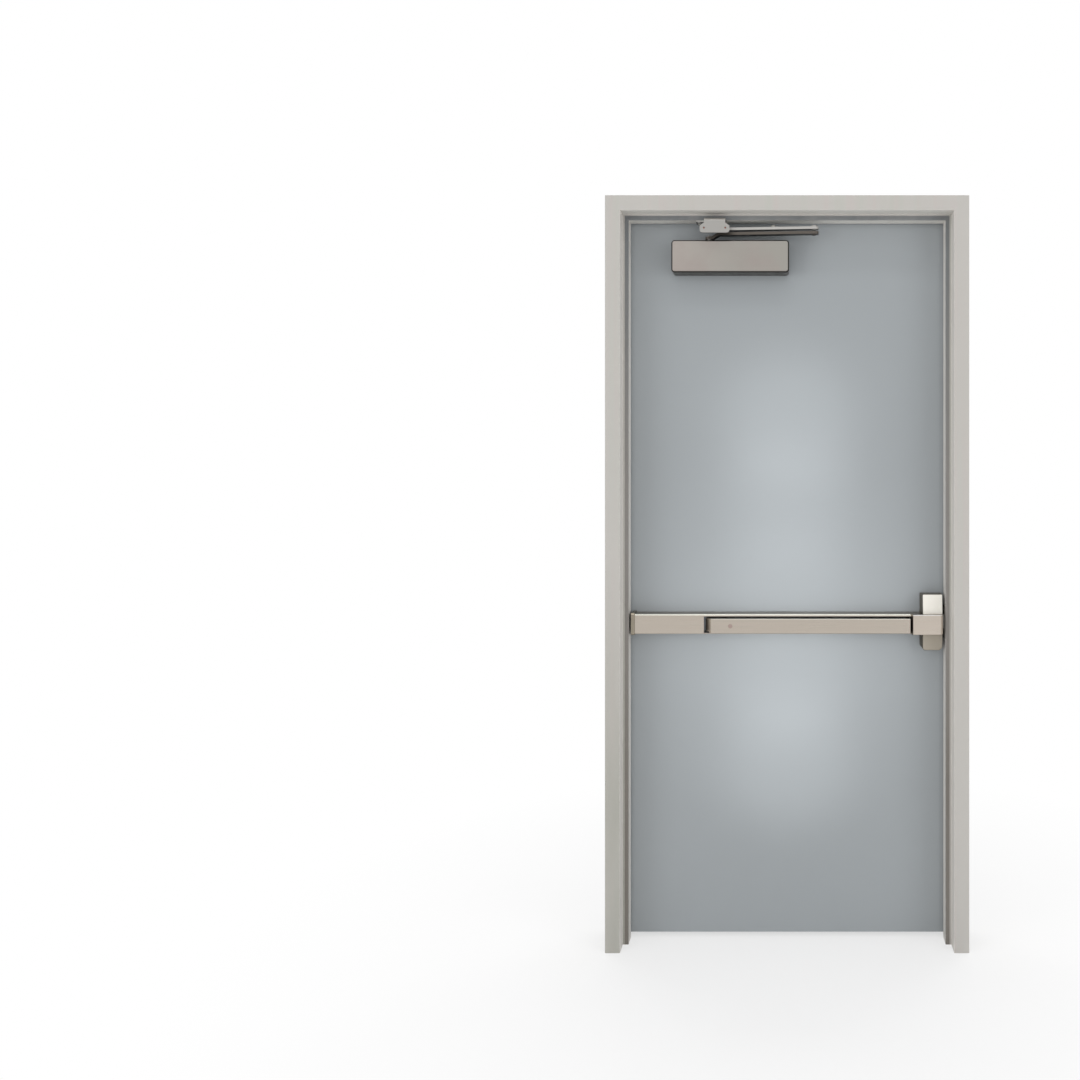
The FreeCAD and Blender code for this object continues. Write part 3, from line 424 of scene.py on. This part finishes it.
FINISHES = {
    "frame_paint": frame_paint(),
    "leaf_paint": leaf_paint(),
    "honeycomb_core": kraft("honeycomb_core", srgb(150, 122, 92)),
    "silencer_rubber": dull("silencer_rubber", srgb(120, 120, 118)),
    "closer_cover_metal": cover_lacquer("closer_cover_metal", srgb(170, 163, 157),
                                        srgb(169, 167, 160)),
    "closer_casting": sprayed("closer_casting", srgb(105, 104, 102), 0.08, 0.5, 0.4),
    "galvanised_steel": galvanised("galvanised_steel", srgb(168, 171, 173)),
    "satin_steel": brushed("satin_steel", srgb(178, 176, 172), 0.08, 0.34, "Z"),
    "bar_metal": brushed("bar_metal", srgb(203, 193, 181), 0.05, 0.32, "X", aside=0.55),
    "arm_steel": sprayed("arm_steel", srgb(198, 196, 192), 0.04, 0.34, 0.9, under_shade=0.18),
}
main_arm_finish = sprayed("main_arm_steel", srgb(108, 102, 96), 0.06, 0.36, 0.9, under_shade=0.1)
bracket_finish = sprayed("bracket_steel", srgb(178, 176, 172), 0.04, 0.36, 0.9, under_shade=0.3)
cap_finish = brushed("cap_metal", srgb(166, 157, 141), 0.06, 0.34, "Z", aside=0.6)
band_finish = brushed("band_metal", srgb(213, 202, 190), 0.04, 0.32, "X", aside=0.5, seam=-0.025)
block_finish = block_casting("block_casting")
end_finish = brushed("pad_end_metal", srgb(163, 154, 143), 0.05, 0.34, "Z")
bush_finish = brushed("bush_metal", srgb(184, 164, 156), 0.05, 0.36, "X")
rust_finish = dull("rust", srgb(158, 104, 82))
screw_finish = brushed("screw_zinc", srgb(190, 188, 182), 0.06, 0.3, "Z")
strike_finish = brushed("strike_steel", srgb(128, 125, 119), 0.08, 0.5, "Z", metallic=0.5)

for name, thing in nodes.items():
    if not thing.material_slots:
        thing.data.materials.append(None)
    for holder in thing.material_slots:
        holder.material = FINISHES[SLOT_OF[name]]
nodes["strike_plate"].material_slots[0].material = strike_finish

# Mesh tools

CREASE = math.radians(35)
EDGE_ANGLE = math.radians(28)
CLOSE = 1e-5


def object_of(name, bm, material):
    """A new object from a bmesh, smooth but for its sharp edges."""
    mesh = bpy.data.meshes.new(name)
    bmesh.ops.recalc_face_normals(bm, faces=bm.faces[:])
    bm.to_mesh(mesh)
    bm.free()
    mesh.shade_smooth()
    mesh.set_sharp_from_angle(angle=CREASE)
    mesh.materials.append(material)
    thing = bpy.data.objects.new(name, mesh)
    bpy.context.scene.collection.objects.link(thing)
    return thing


def flat_normals(thing):
    """Flat faces stay flat in the shading, next to their rounded edges."""
    modifier = thing.modifiers.new("even_normals", "WEIGHTED_NORMAL")
    modifier.keep_sharp = True


def applied(thing):
    """Makes the object's modifiers real."""
    bpy.context.view_layer.update()
    graph = bpy.context.evaluated_depsgraph_get()
    made = bpy.data.meshes.new_from_object(thing.evaluated_get(graph))
    thing.modifiers.clear()
    thing.data = made


def cut(thing, cutter):
    """Takes the cutter's shape out of the object."""
    modifier = thing.modifiers.new("cut", "BOOLEAN")
    modifier.operation = "DIFFERENCE"
    modifier.solver = "EXACT"
    modifier.object = cutter
    applied(thing)
    bpy.data.objects.remove(cutter)
    thing.data.shade_smooth()
    thing.data.set_sharp_from_angle(angle=CREASE)
    return thing


def edges_to_bevel(bm, wanted):
    """Sharp edges whose middle and direction pass the test."""
    chosen = []
    for edge in bm.edges:
        if len(edge.link_faces) != 2 or edge.calc_face_angle(0) < EDGE_ANGLE:
            continue
        first, second = (vert.co for vert in edge.verts)
        if wanted((first + second) / 2, (second - first).normalized()):
            chosen.append(edge)
    return chosen


def softened(node, name, bevels, reshape=None, finish=None):
    """Stands for a node of the frame: the same solid with some of its edges rounded. Each bevel
    is a width, a number of segments and a test of an edge's middle and direction."""
    bm = bmesh.new()
    bm.from_mesh(nodes[node].data)
    bmesh.ops.remove_doubles(bm, verts=bm.verts[:], dist=2e-6)
    bmesh.ops.dissolve_limit(bm, angle_limit=math.radians(0.5), verts=bm.verts[:],
                             edges=bm.edges[:])
    if reshape:
        reshape(bm)
    for width, segments, wanted in bevels:
        bmesh.ops.bevel(bm, geom=edges_to_bevel(bm, wanted), offset=width, offset_type="OFFSET",
                        segments=segments, profile=0.5, affect="EDGES", clamp_overlap=True)
    slot = SLOT_OF[node]
    thing = object_of(name, bm, finish or FINISHES[slot])
    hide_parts(node)
    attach(thing, BODY_OF[node])
    flat_normals(thing)


def every_edge(place, direction):
    return True


def join_rings(bm, first, second):
    """Faces between two rings of vertices, either of which may be a single point."""
    count = max(len(first), len(second))
    for i in range(count):
        j = (i + 1) % count
        quad = [first[i % len(first)], first[j % len(first)],
                second[j % len(second)], second[i % len(second)]]
        bm.faces.new(list(dict.fromkeys(quad)))


def turned(profile, segments=40):
    """A bmesh of a profile of (radius, height) turned round Z."""
    bm = bmesh.new()
    rings = []
    for radius, height in profile:
        if radius == 0:
            rings.append([bm.verts.new((0, 0, height))])
            continue
        angles = [2 * math.pi * i / segments for i in range(segments)]
        rings.append([bm.verts.new((radius * math.cos(a), radius * math.sin(a), height))
                      for a in angles])
    for low, high in zip(rings, rings[1:]):
        join_rings(bm, low, high)
    return bm


def prism(outline, low, high, narrow=1.0):
    """A bmesh of an outline in XY between two heights, narrower at the low end."""
    bm = bmesh.new()
    base = [bm.verts.new((x * narrow, y * narrow, low)) for x, y in outline]
    top = [bm.verts.new((x, y, high)) for x, y in outline]
    join_rings(bm, base, top)
    bm.faces.new(base[::-1])
    bm.faces.new(top)
    return bm


def cross_outline(reach, half):
    return [(reach, -half), (reach, half), (half, half), (half, reach), (-half, reach),
            (-half, half), (-reach, half), (-reach, -half), (-half, -half), (-half, -reach),
            (half, -reach), (half, -half)]


def hexagon(radius):
    return [(radius * math.cos(math.pi * i / 3), radius * math.sin(math.pi * i / 3))
            for i in range(6)]


def facing(axis):
    """Turns +Z to the direction."""
    return Vector(axis).to_track_quat("Z", "Y").to_matrix().to_4x4()


def put(mesh_maker, name, body, material, places, axis=(0, 0, 1), spin=0.0):
    """One piece of several equal fasteners, each at a place with its head along the axis and
    turned further than the one before."""
    further = 1.9
    pattern = mesh_maker("pattern")
    joined = bmesh.new()
    for number, place in enumerate(places):
        turn = Matrix.Rotation(spin + number * further, 4, "Z")
        copy = pattern.data.copy()
        copy.transform(Matrix.Translation(place) @ facing(axis) @ turn)
        joined.from_mesh(copy)
        bpy.data.meshes.remove(copy)
    bpy.data.objects.remove(pattern)
    thing = object_of(name, joined, material)
    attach(thing, body)


# Fasteners, each with its foot at the origin and its head up


def flat_screw(name):
    """Countersunk screw with a cross recess, which stands hardly proud."""
    profile = [(0, -0.0004), (0.0046, -0.0004), (0.0048, 0.00015), (0.0044, 0.00035),
               (0, 0.00045)]
    recess = prism(cross_outline(0.0024, 0.0005), -0.0003, 0.002)
    return cut(object_of(name, turned(profile), screw_finish),
               object_of("tool", recess, screw_finish))


def pan_screw(name):
    """Pan head with a cross recess."""
    radius, height = 0.0048, 0.003
    profile = [(0, 0), (radius, 0), (radius, height * 0.35), (radius * 0.9, height * 0.75),
               (radius * 0.6, height * 0.95), (0, height)]
    outline = cross_outline(radius * 0.55, radius * 0.11)
    recess = prism(outline, height * 0.35, height * 2, narrow=0.7)
    return cut(object_of(name, turned(profile), screw_finish),
               object_of("tool", recess, screw_finish))


def slotted_screw(name):
    """Tall adjusting screw with a broad slot, waisted over its collar."""
    profile = [(0, 0), (0.0078, 0), (0.0078, 0.0012), (0.006, 0.0017), (0.0064, 0.005),
               (0.0058, 0.0064), (0.0044, 0.007), (0, 0.007)]
    half, reach = 0.0009, 0.009
    outline = [(-reach, -half), (reach, -half), (reach, half), (-reach, half)]
    return cut(object_of(name, turned(profile, 48), screw_finish),
               object_of("tool", prism(outline, 0.0035, 0.01), screw_finish))


def hex_socket_screw(name):
    """Low screw head with a socket, on the end of the pinion."""
    profile = [(0, 0), (0.0055, 0), (0.0055, 0.0024), (0.005, 0.0032), (0.0044, 0.0035),
               (0, 0.0035)]
    return cut(object_of(name, turned(profile), screw_finish),
               object_of("tool", prism(hexagon(0.0026), 0.0012, 0.01), screw_finish))


def pin_button(name):
    profile = [(0, 0), (0.0058, 0), (0.006, 0.0003), (0.006, 0.0018), (0.0052, 0.0027),
               (0.0035, 0.0032), (0, 0.0034)]
    return object_of(name, turned(profile), FINISHES["satin_steel"])


def rusty_screw_end(name):
    profile = [(0, 0), (0.0025, 0), (0.0025, 0.0006), (0.0018, 0.0009), (0, 0.001)]
    return object_of(name, turned(profile), rust_finish)


def dogging_plug(name):
    """Thin plug let into the touch pad at the hole for the dogging key, with a shallow socket."""
    profile = [(0, -0.0012), (0.0024, -0.0012), (0.0024, -0.0002), (0.0062, -0.0002),
               (0.0062, 0.0001), (0.0058, 0.00025), (0, 0.00025)]
    return cut(object_of(name, turned(profile), bush_finish),
               object_of("tool", prism(hexagon(0.0019), -0.0005, 0.01), bush_finish))


# Closer


def cover_loop(bm, y, inset, corner, steps):
    """Ring of vertices round the cover's outline at a depth, inset from its outside."""
    left, right = cover_low.x + corner, cover_high.x - corner
    bottom, top = cover_low.z + corner, cover_high.z - corner
    radius = max(corner - inset, 1e-4)
    ring = []
    for x, z, start in ((right, bottom, -90), (right, top, 0), (left, top, 90),
                        (left, bottom, 180)):
        for i in range(steps + 1):
            angle = math.radians(start + 90 * i / steps)
            ring.append(bm.verts.new((x + radius * math.cos(angle), y,
                                      z + radius * math.sin(angle))))
    return ring


def closer_cover():
    """Drawn cover: rounded corners, a rounded front edge and the hole for the pinion."""
    corner, edge, wall, steps = 0.009, 0.005, 0.002, 8
    hole_radius, hole_reach = 0.012, 0.01
    bm = bmesh.new()
    rings = [cover_loop(bm, cover_high.y, 0, corner, steps)]
    for i in range(steps + 1):
        angle = math.pi / 2 * i / steps
        rings.append(cover_loop(bm, cover_low.y + edge - edge * math.sin(angle),
                                edge - edge * math.cos(angle), corner, steps))
    for first, second in zip(rings, rings[1:]):
        join_rings(bm, first, second)
    bm.faces.new(rings[-1])
    thing = object_of("closer_cover_shell", bm, FINISHES["closer_cover_metal"])
    shell = thing.modifiers.new("wall", "SOLIDIFY")
    shell.thickness = wall
    shell.offset = -1
    applied(thing)
    drill = turned([(0, -hole_reach), (hole_radius, -hole_reach), (hole_radius, hole_reach),
                    (0, hole_reach)], 64)
    hole = object_of("tool", drill, FINISHES["closer_cover_metal"])
    pinion = sum(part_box("closer_pinion"), Vector()) / 2
    hole.location = (pinion.x, pinion.y, cover_high.z)
    cut(thing, hole)
    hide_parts("closer_cover")
    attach(thing, "door")
    flat_normals(thing)


def closer_arms():
    """Main arm, forearm and bracket with eased edges."""
    softened("main_arm", "main_arm_bar", [(0.0008, 2, every_edge)], finish=main_arm_finish)
    softened("forearm_bar", "forearm_bar_soft", [(0.0008, 2, every_edge)])
    softened("closer_bracket", "bracket_plate", [(0.0006, 2, every_edge)], finish=bracket_finish)


def closer_fasteners():
    """Screws of the pinion, the forearm, and the bracket's foot and plate."""
    elbow_x, elbow_y, screw_from_pivot, screw_rise = 0.55255, -0.024, 0.168, 0.008
    foot_across, foot_deep = (-0.039, 0.026), (-0.013, 0.007)
    hole_across, hole_depth, hole_rise = (-0.023, 0.036), 0.0028, 0.0136
    pinion_low, pinion_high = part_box("closer_pinion")
    pinion_top = (pinion_low + pinion_high) / 2
    pinion_top.z = pinion_high.z
    put(hex_socket_screw, "hub_screw", "main_arm", screw_finish, [pinion_top])
    stud_low, stud_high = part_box("bracket_pivot")
    pivot = (stud_low + stud_high) / 2
    along = (Vector((elbow_x, elbow_y, pivot.z)) - pivot).normalized()
    adjuster = pivot + along * screw_from_pivot
    adjuster.z = stud_low.z + screw_rise
    put(slotted_screw, "forearm_screw", "forearm", screw_finish, [adjuster], spin=1.45)
    foot = [Vector((pivot.x + x, y, stud_high.z)) for x in foot_across for y in foot_deep]
    put(pan_screw, "bracket_screws", "frame", screw_finish, foot, (0, 0, -1))
    bracket_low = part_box("closer_bracket")[0]
    holes = [Vector((pivot.x + x, bracket_low.y + hole_depth, bracket_low.z + hole_rise))
             for x in hole_across]
    put(rusty_screw_end, "bracket_hole_screws", "frame", rust_finish, holes,
        (0, -1, 0))


closer_cover()
closer_arms()
closer_fasteners()

# Hinges


def hinge_fasteners():
    """Four screws in each hinge leaf and the buttons at both ends of each pin."""
    hinge_height, half_gap = 0.1143, 0.0025
    screw_places = ((0.0135, 0.0125), (0.0425, 0.0265), (0.0718, 0.0265), (0.1008, 0.0125))
    low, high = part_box("hinge_frame_leaves")
    knuckle_x = (low.x + high.x) / 2
    knuckle_y = high.y - (high.x - low.x) / 2
    starts = [low.z, (low.z + high.z - hinge_height) / 2, high.z - hinge_height]

    def leaf_screws(x):
        return [Vector((x, low.y + across, start + up))
                for start in starts for up, across in screw_places]

    def pin_ends(rise):
        return [Vector((knuckle_x, knuckle_y, start + rise)) for start in starts]

    put(flat_screw, "frame_hinge_screws", "frame", screw_finish,
        leaf_screws(knuckle_x - half_gap), (1, 0, 0))
    put(flat_screw, "door_hinge_screws", "door", screw_finish,
        leaf_screws(knuckle_x + half_gap), (-1, 0, 0))
    put(pin_button, "hinge_pin_upper_buttons", "frame", FINISHES["satin_steel"],
        pin_ends(hinge_height))
    put(pin_button, "hinge_pin_lower_buttons", "frame", FINISHES["satin_steel"],
        pin_ends(0), (0, 0, -1))


hinge_fasteners()

# Exit device

rail_low, rail_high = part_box("exit_rail")
cap_back_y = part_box("rail_end_cap")[1].y
pad_low, pad_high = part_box("touch_pad")
band_low, band_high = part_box("head_band")
case_low, case_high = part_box("head_case")
UPPER_LEAN, LOWER_LEAN = 0.0045, 0.003


def rail_front_edge(place, direction):
    """The long outer edges of the rail's front, above and below."""
    outer = place.z > rail_high.z - CLOSE or place.z < rail_low.z + CLOSE
    return outer and place.y < rail_low.y + CLOSE and abs(direction.x) > 0.99


def cap_front_edge(place, direction):
    return place.y < cap_back_y - 0.001


def pad_front_edge(place, direction):
    return place.y < pad_low.y + 0.007


def band_outer_edge(place, direction):
    """The band's upper and lower edges, in front of the case."""
    outer = place.z > band_high.z - CLOSE or place.z < band_low.z + CLOSE
    return outer and place.y < case_low.y - 0.0005 and abs(direction.z) < 0.1


def lean_at(height):
    """How far the case's front leans back at a height."""
    above = max(height - band_high.z, 0) / (case_high.z - band_high.z)
    below = max(band_low.z - height, 0) / (band_low.z - case_low.z)
    return above * UPPER_LEAN + below * LOWER_LEAN


def block_edge(place, direction):
    """The outline of the case's front but for the band's place, and its outer corners."""
    near, band_margin, lean_margin = 0.0005, 0.003, 0.004
    front = place.y < case_low.y + lean_at(place.z) + near
    clear_of_band = (abs(place.z - band_low.z) > band_margin and
                     abs(place.z - band_high.z) > band_margin)
    aside = place.x < case_low.x + lean_margin or place.x > case_high.x - near
    ends = place.z < case_low.z + near or place.z > case_high.z - near
    return front and clear_of_band or abs(direction.y) > 0.8 and (aside or ends)


def lean_blocks(bm):
    """The upper block's front leans back to its top, the lower one's to its bottom."""
    front_wall, overlap = 0.006, 0.001
    for level in (band_low.z + overlap, band_high.z - overlap):
        bmesh.ops.bisect_plane(bm, geom=bm.verts[:] + bm.edges[:] + bm.faces[:], dist=1e-6,
                               plane_co=(0, 0, level), plane_no=(0, 0, 1))
    for vert in bm.verts:
        if vert.co.y < case_low.y + front_wall:
            vert.co.y += lean_at(vert.co.z)


def pad_end():
    """Sloped plate that closes the touch pad's left end between its two legs."""
    slope, gauge, inset, front, back_gap = 0.015, 0.0012, 0.0004, 0.0038, 0.004
    below, above = 0.0057, 0.0025
    foot, thick = slope + 0.0005, gauge * 1.4
    back = pad_high.y - pad_low.y - back_gap
    outline = [(slope - front, front), (slope - front + thick, front), (thick, foot),
               (thick, back), (inset, back), (inset, foot)]
    bm = bmesh.new()
    low, high = ([bm.verts.new((pad_low.x + x, pad_low.y + y, z)) for x, y in outline]
                 for z in (pad_low.z + below, pad_high.z - above))
    join_rings(bm, low, high)
    bm.faces.new(low[::-1])
    bm.faces.new(high)
    thing = object_of("touch_bar_end", bm, end_finish)
    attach(thing, "touch_pad")


def exit_device():
    """Rail, end cap, touch pad and head, with their pressed edges rounded."""
    dogging_place = 0.0689
    softened("exit_rail", "rail_body", [(0.003, 5, rail_front_edge)])
    softened("rail_end_cap", "rail_cap", [(0.0015, 4, cap_front_edge)], finish=cap_finish)
    softened("touch_pad", "touch_bar", [(0.0008, 2, pad_front_edge)])
    pad_end()
    put(dogging_plug, "dogging_hole_plug", "touch_pad", bush_finish,
        [Vector((pad_low.x + dogging_place, pad_low.y, (pad_low.z + pad_high.z) / 2))], (0, -1, 0))
    softened("head_band", "head_cover_band", [(0.003, 4, band_outer_edge)], finish=band_finish)
    softened("head_case", "head_block", [(0.0022, 4, block_edge)], lean_blocks, block_finish)


def strike_fasteners():
    screw_from_end = 0.009
    put(flat_screw, "strike_screws", "frame", screw_finish,
        [Vector((strike_low.x, 0, z)) for z in (strike_low.z + screw_from_end,
                                                strike_high.z - screw_from_end)], (-1, 0, 0))


exit_device()
strike_fasteners()

# Folded edges of the leaf's sheets


def eased(name):
    """Rounds the folds of a pressed sheet."""
    weld = nodes[name].modifiers.new("joined_corners", "WELD")
    weld.merge_threshold = CLOSE
    bevel = nodes[name].modifiers.new("folds", "BEVEL")
    bevel.width = 0.0006
    bevel.segments = 2
    bevel.limit_method = "ANGLE"
    bevel.angle_limit = math.radians(40)


for sheet in ("push_skin", "pull_skin"):
    eased(sheet)

# Floor and studio light

WHITE = (1, 1, 1, 1)


def mixed(tree, factor, first, second):
    """A shader between two."""
    node = tree.nodes.new("ShaderNodeMixShader")
    for source, socket in zip((factor, first, second), node.inputs):
        tree.links.new(source, socket)
    return node.outputs[0]


def floor_material():
    """Pale floor that keeps the shadow at the door's feet and fades into the white ground."""
    near_share, fade_start, fade_end = 0.6, 0.45, 1.6
    finish = Finish("floor")
    tree = finish.tree
    cloud = finish.fitted(finish.noise(3.0), 0.0, 1.0)
    finish.colour(finish.blend(cloud, scaled(WHITE, 0.84), scaled(WHITE, 0.86)))
    finish.roughness(finish.fitted(finish.noise(20.0), 0.65, 0.75))
    far = tree.nodes.new("ShaderNodeVectorMath")
    far.operation = "LENGTH"
    finish.feed(finish.coords, far.inputs[0])
    fade = finish.fitted(far.outputs["Value"], near_share, 1.0, fade_start, fade_end)
    path = tree.nodes.new("ShaderNodeLightPath")
    seen = finish.product(path.outputs["Is Camera Ray"], fade)
    ground = tree.nodes.new("ShaderNodeEmission")
    ground.inputs["Color"].default_value = WHITE
    ground.inputs["Strength"].default_value = 1.0
    surface = mixed(tree, seen, finish.shader.outputs[0], ground.outputs[0])
    finish.feed(surface, tree.nodes["Material Output"].inputs["Surface"])
    return finish.material


def floor():
    grid = bmesh.new()
    bmesh.ops.create_grid(grid, x_segments=1, y_segments=1, size=60)
    thing = object_of("floor", grid, floor_material())
    thing.location.x = MIDDLE_X


def world():
    """Even studio light, a little dimmer from the sides and from above, on a white ground."""
    made = bpy.data.worlds.new("studio")
    made.use_nodes = True
    tree = made.node_tree
    coords = tree.nodes.new("ShaderNodeTexCoord")
    parts = tree.nodes.new("ShaderNodeSeparateXYZ")
    tree.links.new(coords.outputs["Generated"], parts.inputs["Vector"])
    ahead = tree.nodes.new("ShaderNodeMath")
    ahead.operation = "ABSOLUTE"
    tree.links.new(parts.outputs["Y"], ahead.inputs[0])
    level = tree.nodes.new("ShaderNodeMapRange")
    for name, value in (("From Min", 0.15), ("From Max", 0.9), ("To Min", 0.8), ("To Max", 0.85)):
        level.inputs[name].default_value = value
    tree.links.new(ahead.outputs[0], level.inputs["Value"])
    soft = tree.nodes["Background"]
    soft.inputs["Color"].default_value = WHITE
    tree.links.new(level.outputs["Result"], soft.inputs["Strength"])
    ground = tree.nodes.new("ShaderNodeBackground")
    ground.inputs["Color"].default_value = WHITE
    ground.inputs["Strength"].default_value = 1.0
    path = tree.nodes.new("ShaderNodeLightPath")
    surface = mixed(tree, path.outputs["Is Camera Ray"], soft.outputs[0], ground.outputs[0])
    tree.links.new(surface, tree.nodes["World Output"].inputs["Surface"])
    bpy.context.scene.world = made


def lamp(kind, name, place, target, power, **settings):
    data = bpy.data.lights.new(name, kind)
    data.energy = power
    for key, value in settings.items():
        setattr(data, key, value)
    thing = bpy.data.objects.new(name, data)
    thing.location = place
    thing.rotation_euler = (Vector(target) - Vector(place)).to_track_quat("-Z", "Y").to_euler()
    bpy.context.scene.collection.objects.link(thing)
    return thing


def side_lamps():
    """Four large discs, at the corners of a square round the door."""
    across, away, height, aim_height = 3.4, 3.0, 1.7, 1.1
    for side in (-1, 1):
        for front in (-1, 1):
            disc = lamp("AREA", "side", (MIDDLE_X + side * across, front * away, height),
                        (MIDDLE_X, 0, aim_height), 38, shape="DISK", size=2.4)
            disc.visible_glossy = False


def glow_lamps():
    """The upright patch of light on the leaf, from soft spots in front of it. Each is a height,
    a cone's angle in degrees and a power."""
    away = 2.4
    glows = ((1.46, 12, 60), (1.46, 18, 16), (1.22, 12, 40), (0.98, 12, 34), (0.98, 24, 33),
             (0.74, 12, 44), (0.74, 24, 36), (0.50, 12, 54))
    for number, (height, angle, power) in enumerate(glows):
        glow = lamp("SPOT", f"glow_{number}", (MIDDLE_X, -away, height), (MIDDLE_X, 0, height),
                    power, spot_size=math.radians(angle), spot_blend=1.0, shadow_soft_size=0.08)
        glow.visible_glossy = False


def overhead_lamps():
    """Two narrow strips above the door, before and behind it."""
    away, height, aim_height = 1.1, 3.6, 1.0
    for front in (-1, 1):
        lamp("AREA", "overhead", (MIDDLE_X, front * away, height), (MIDDLE_X, 0, aim_height), 5,
             shape="RECTANGLE", size=2.0, size_y=0.2)


floor()
world()
side_lamps()
glow_lamps()
overhead_lamps()

# Camera


def camera():
    """Square on to the door, with the picture's middle moved to the left and down."""
    distance, eye_height = 2.803, 1.354
    eye = bpy.data.cameras.new("eye")
    eye.sensor_width = 36.0
    eye.lens = 34.17
    eye.shift_x = -0.2288
    eye.shift_y = -0.0759
    eye.clip_start = 0.05
    eye.clip_end = 200
    thing = bpy.data.objects.new("eye", eye)
    thing.location = (MIDDLE_X, FRAME_FRONT_Y - distance, eye_height)
    thing.rotation_euler = (math.radians(90), 0, 0)
    bpy.context.scene.collection.objects.link(thing)
    bpy.context.scene.camera = thing


camera()
bpy.context.scene.view_settings.view_transform = "Standard"
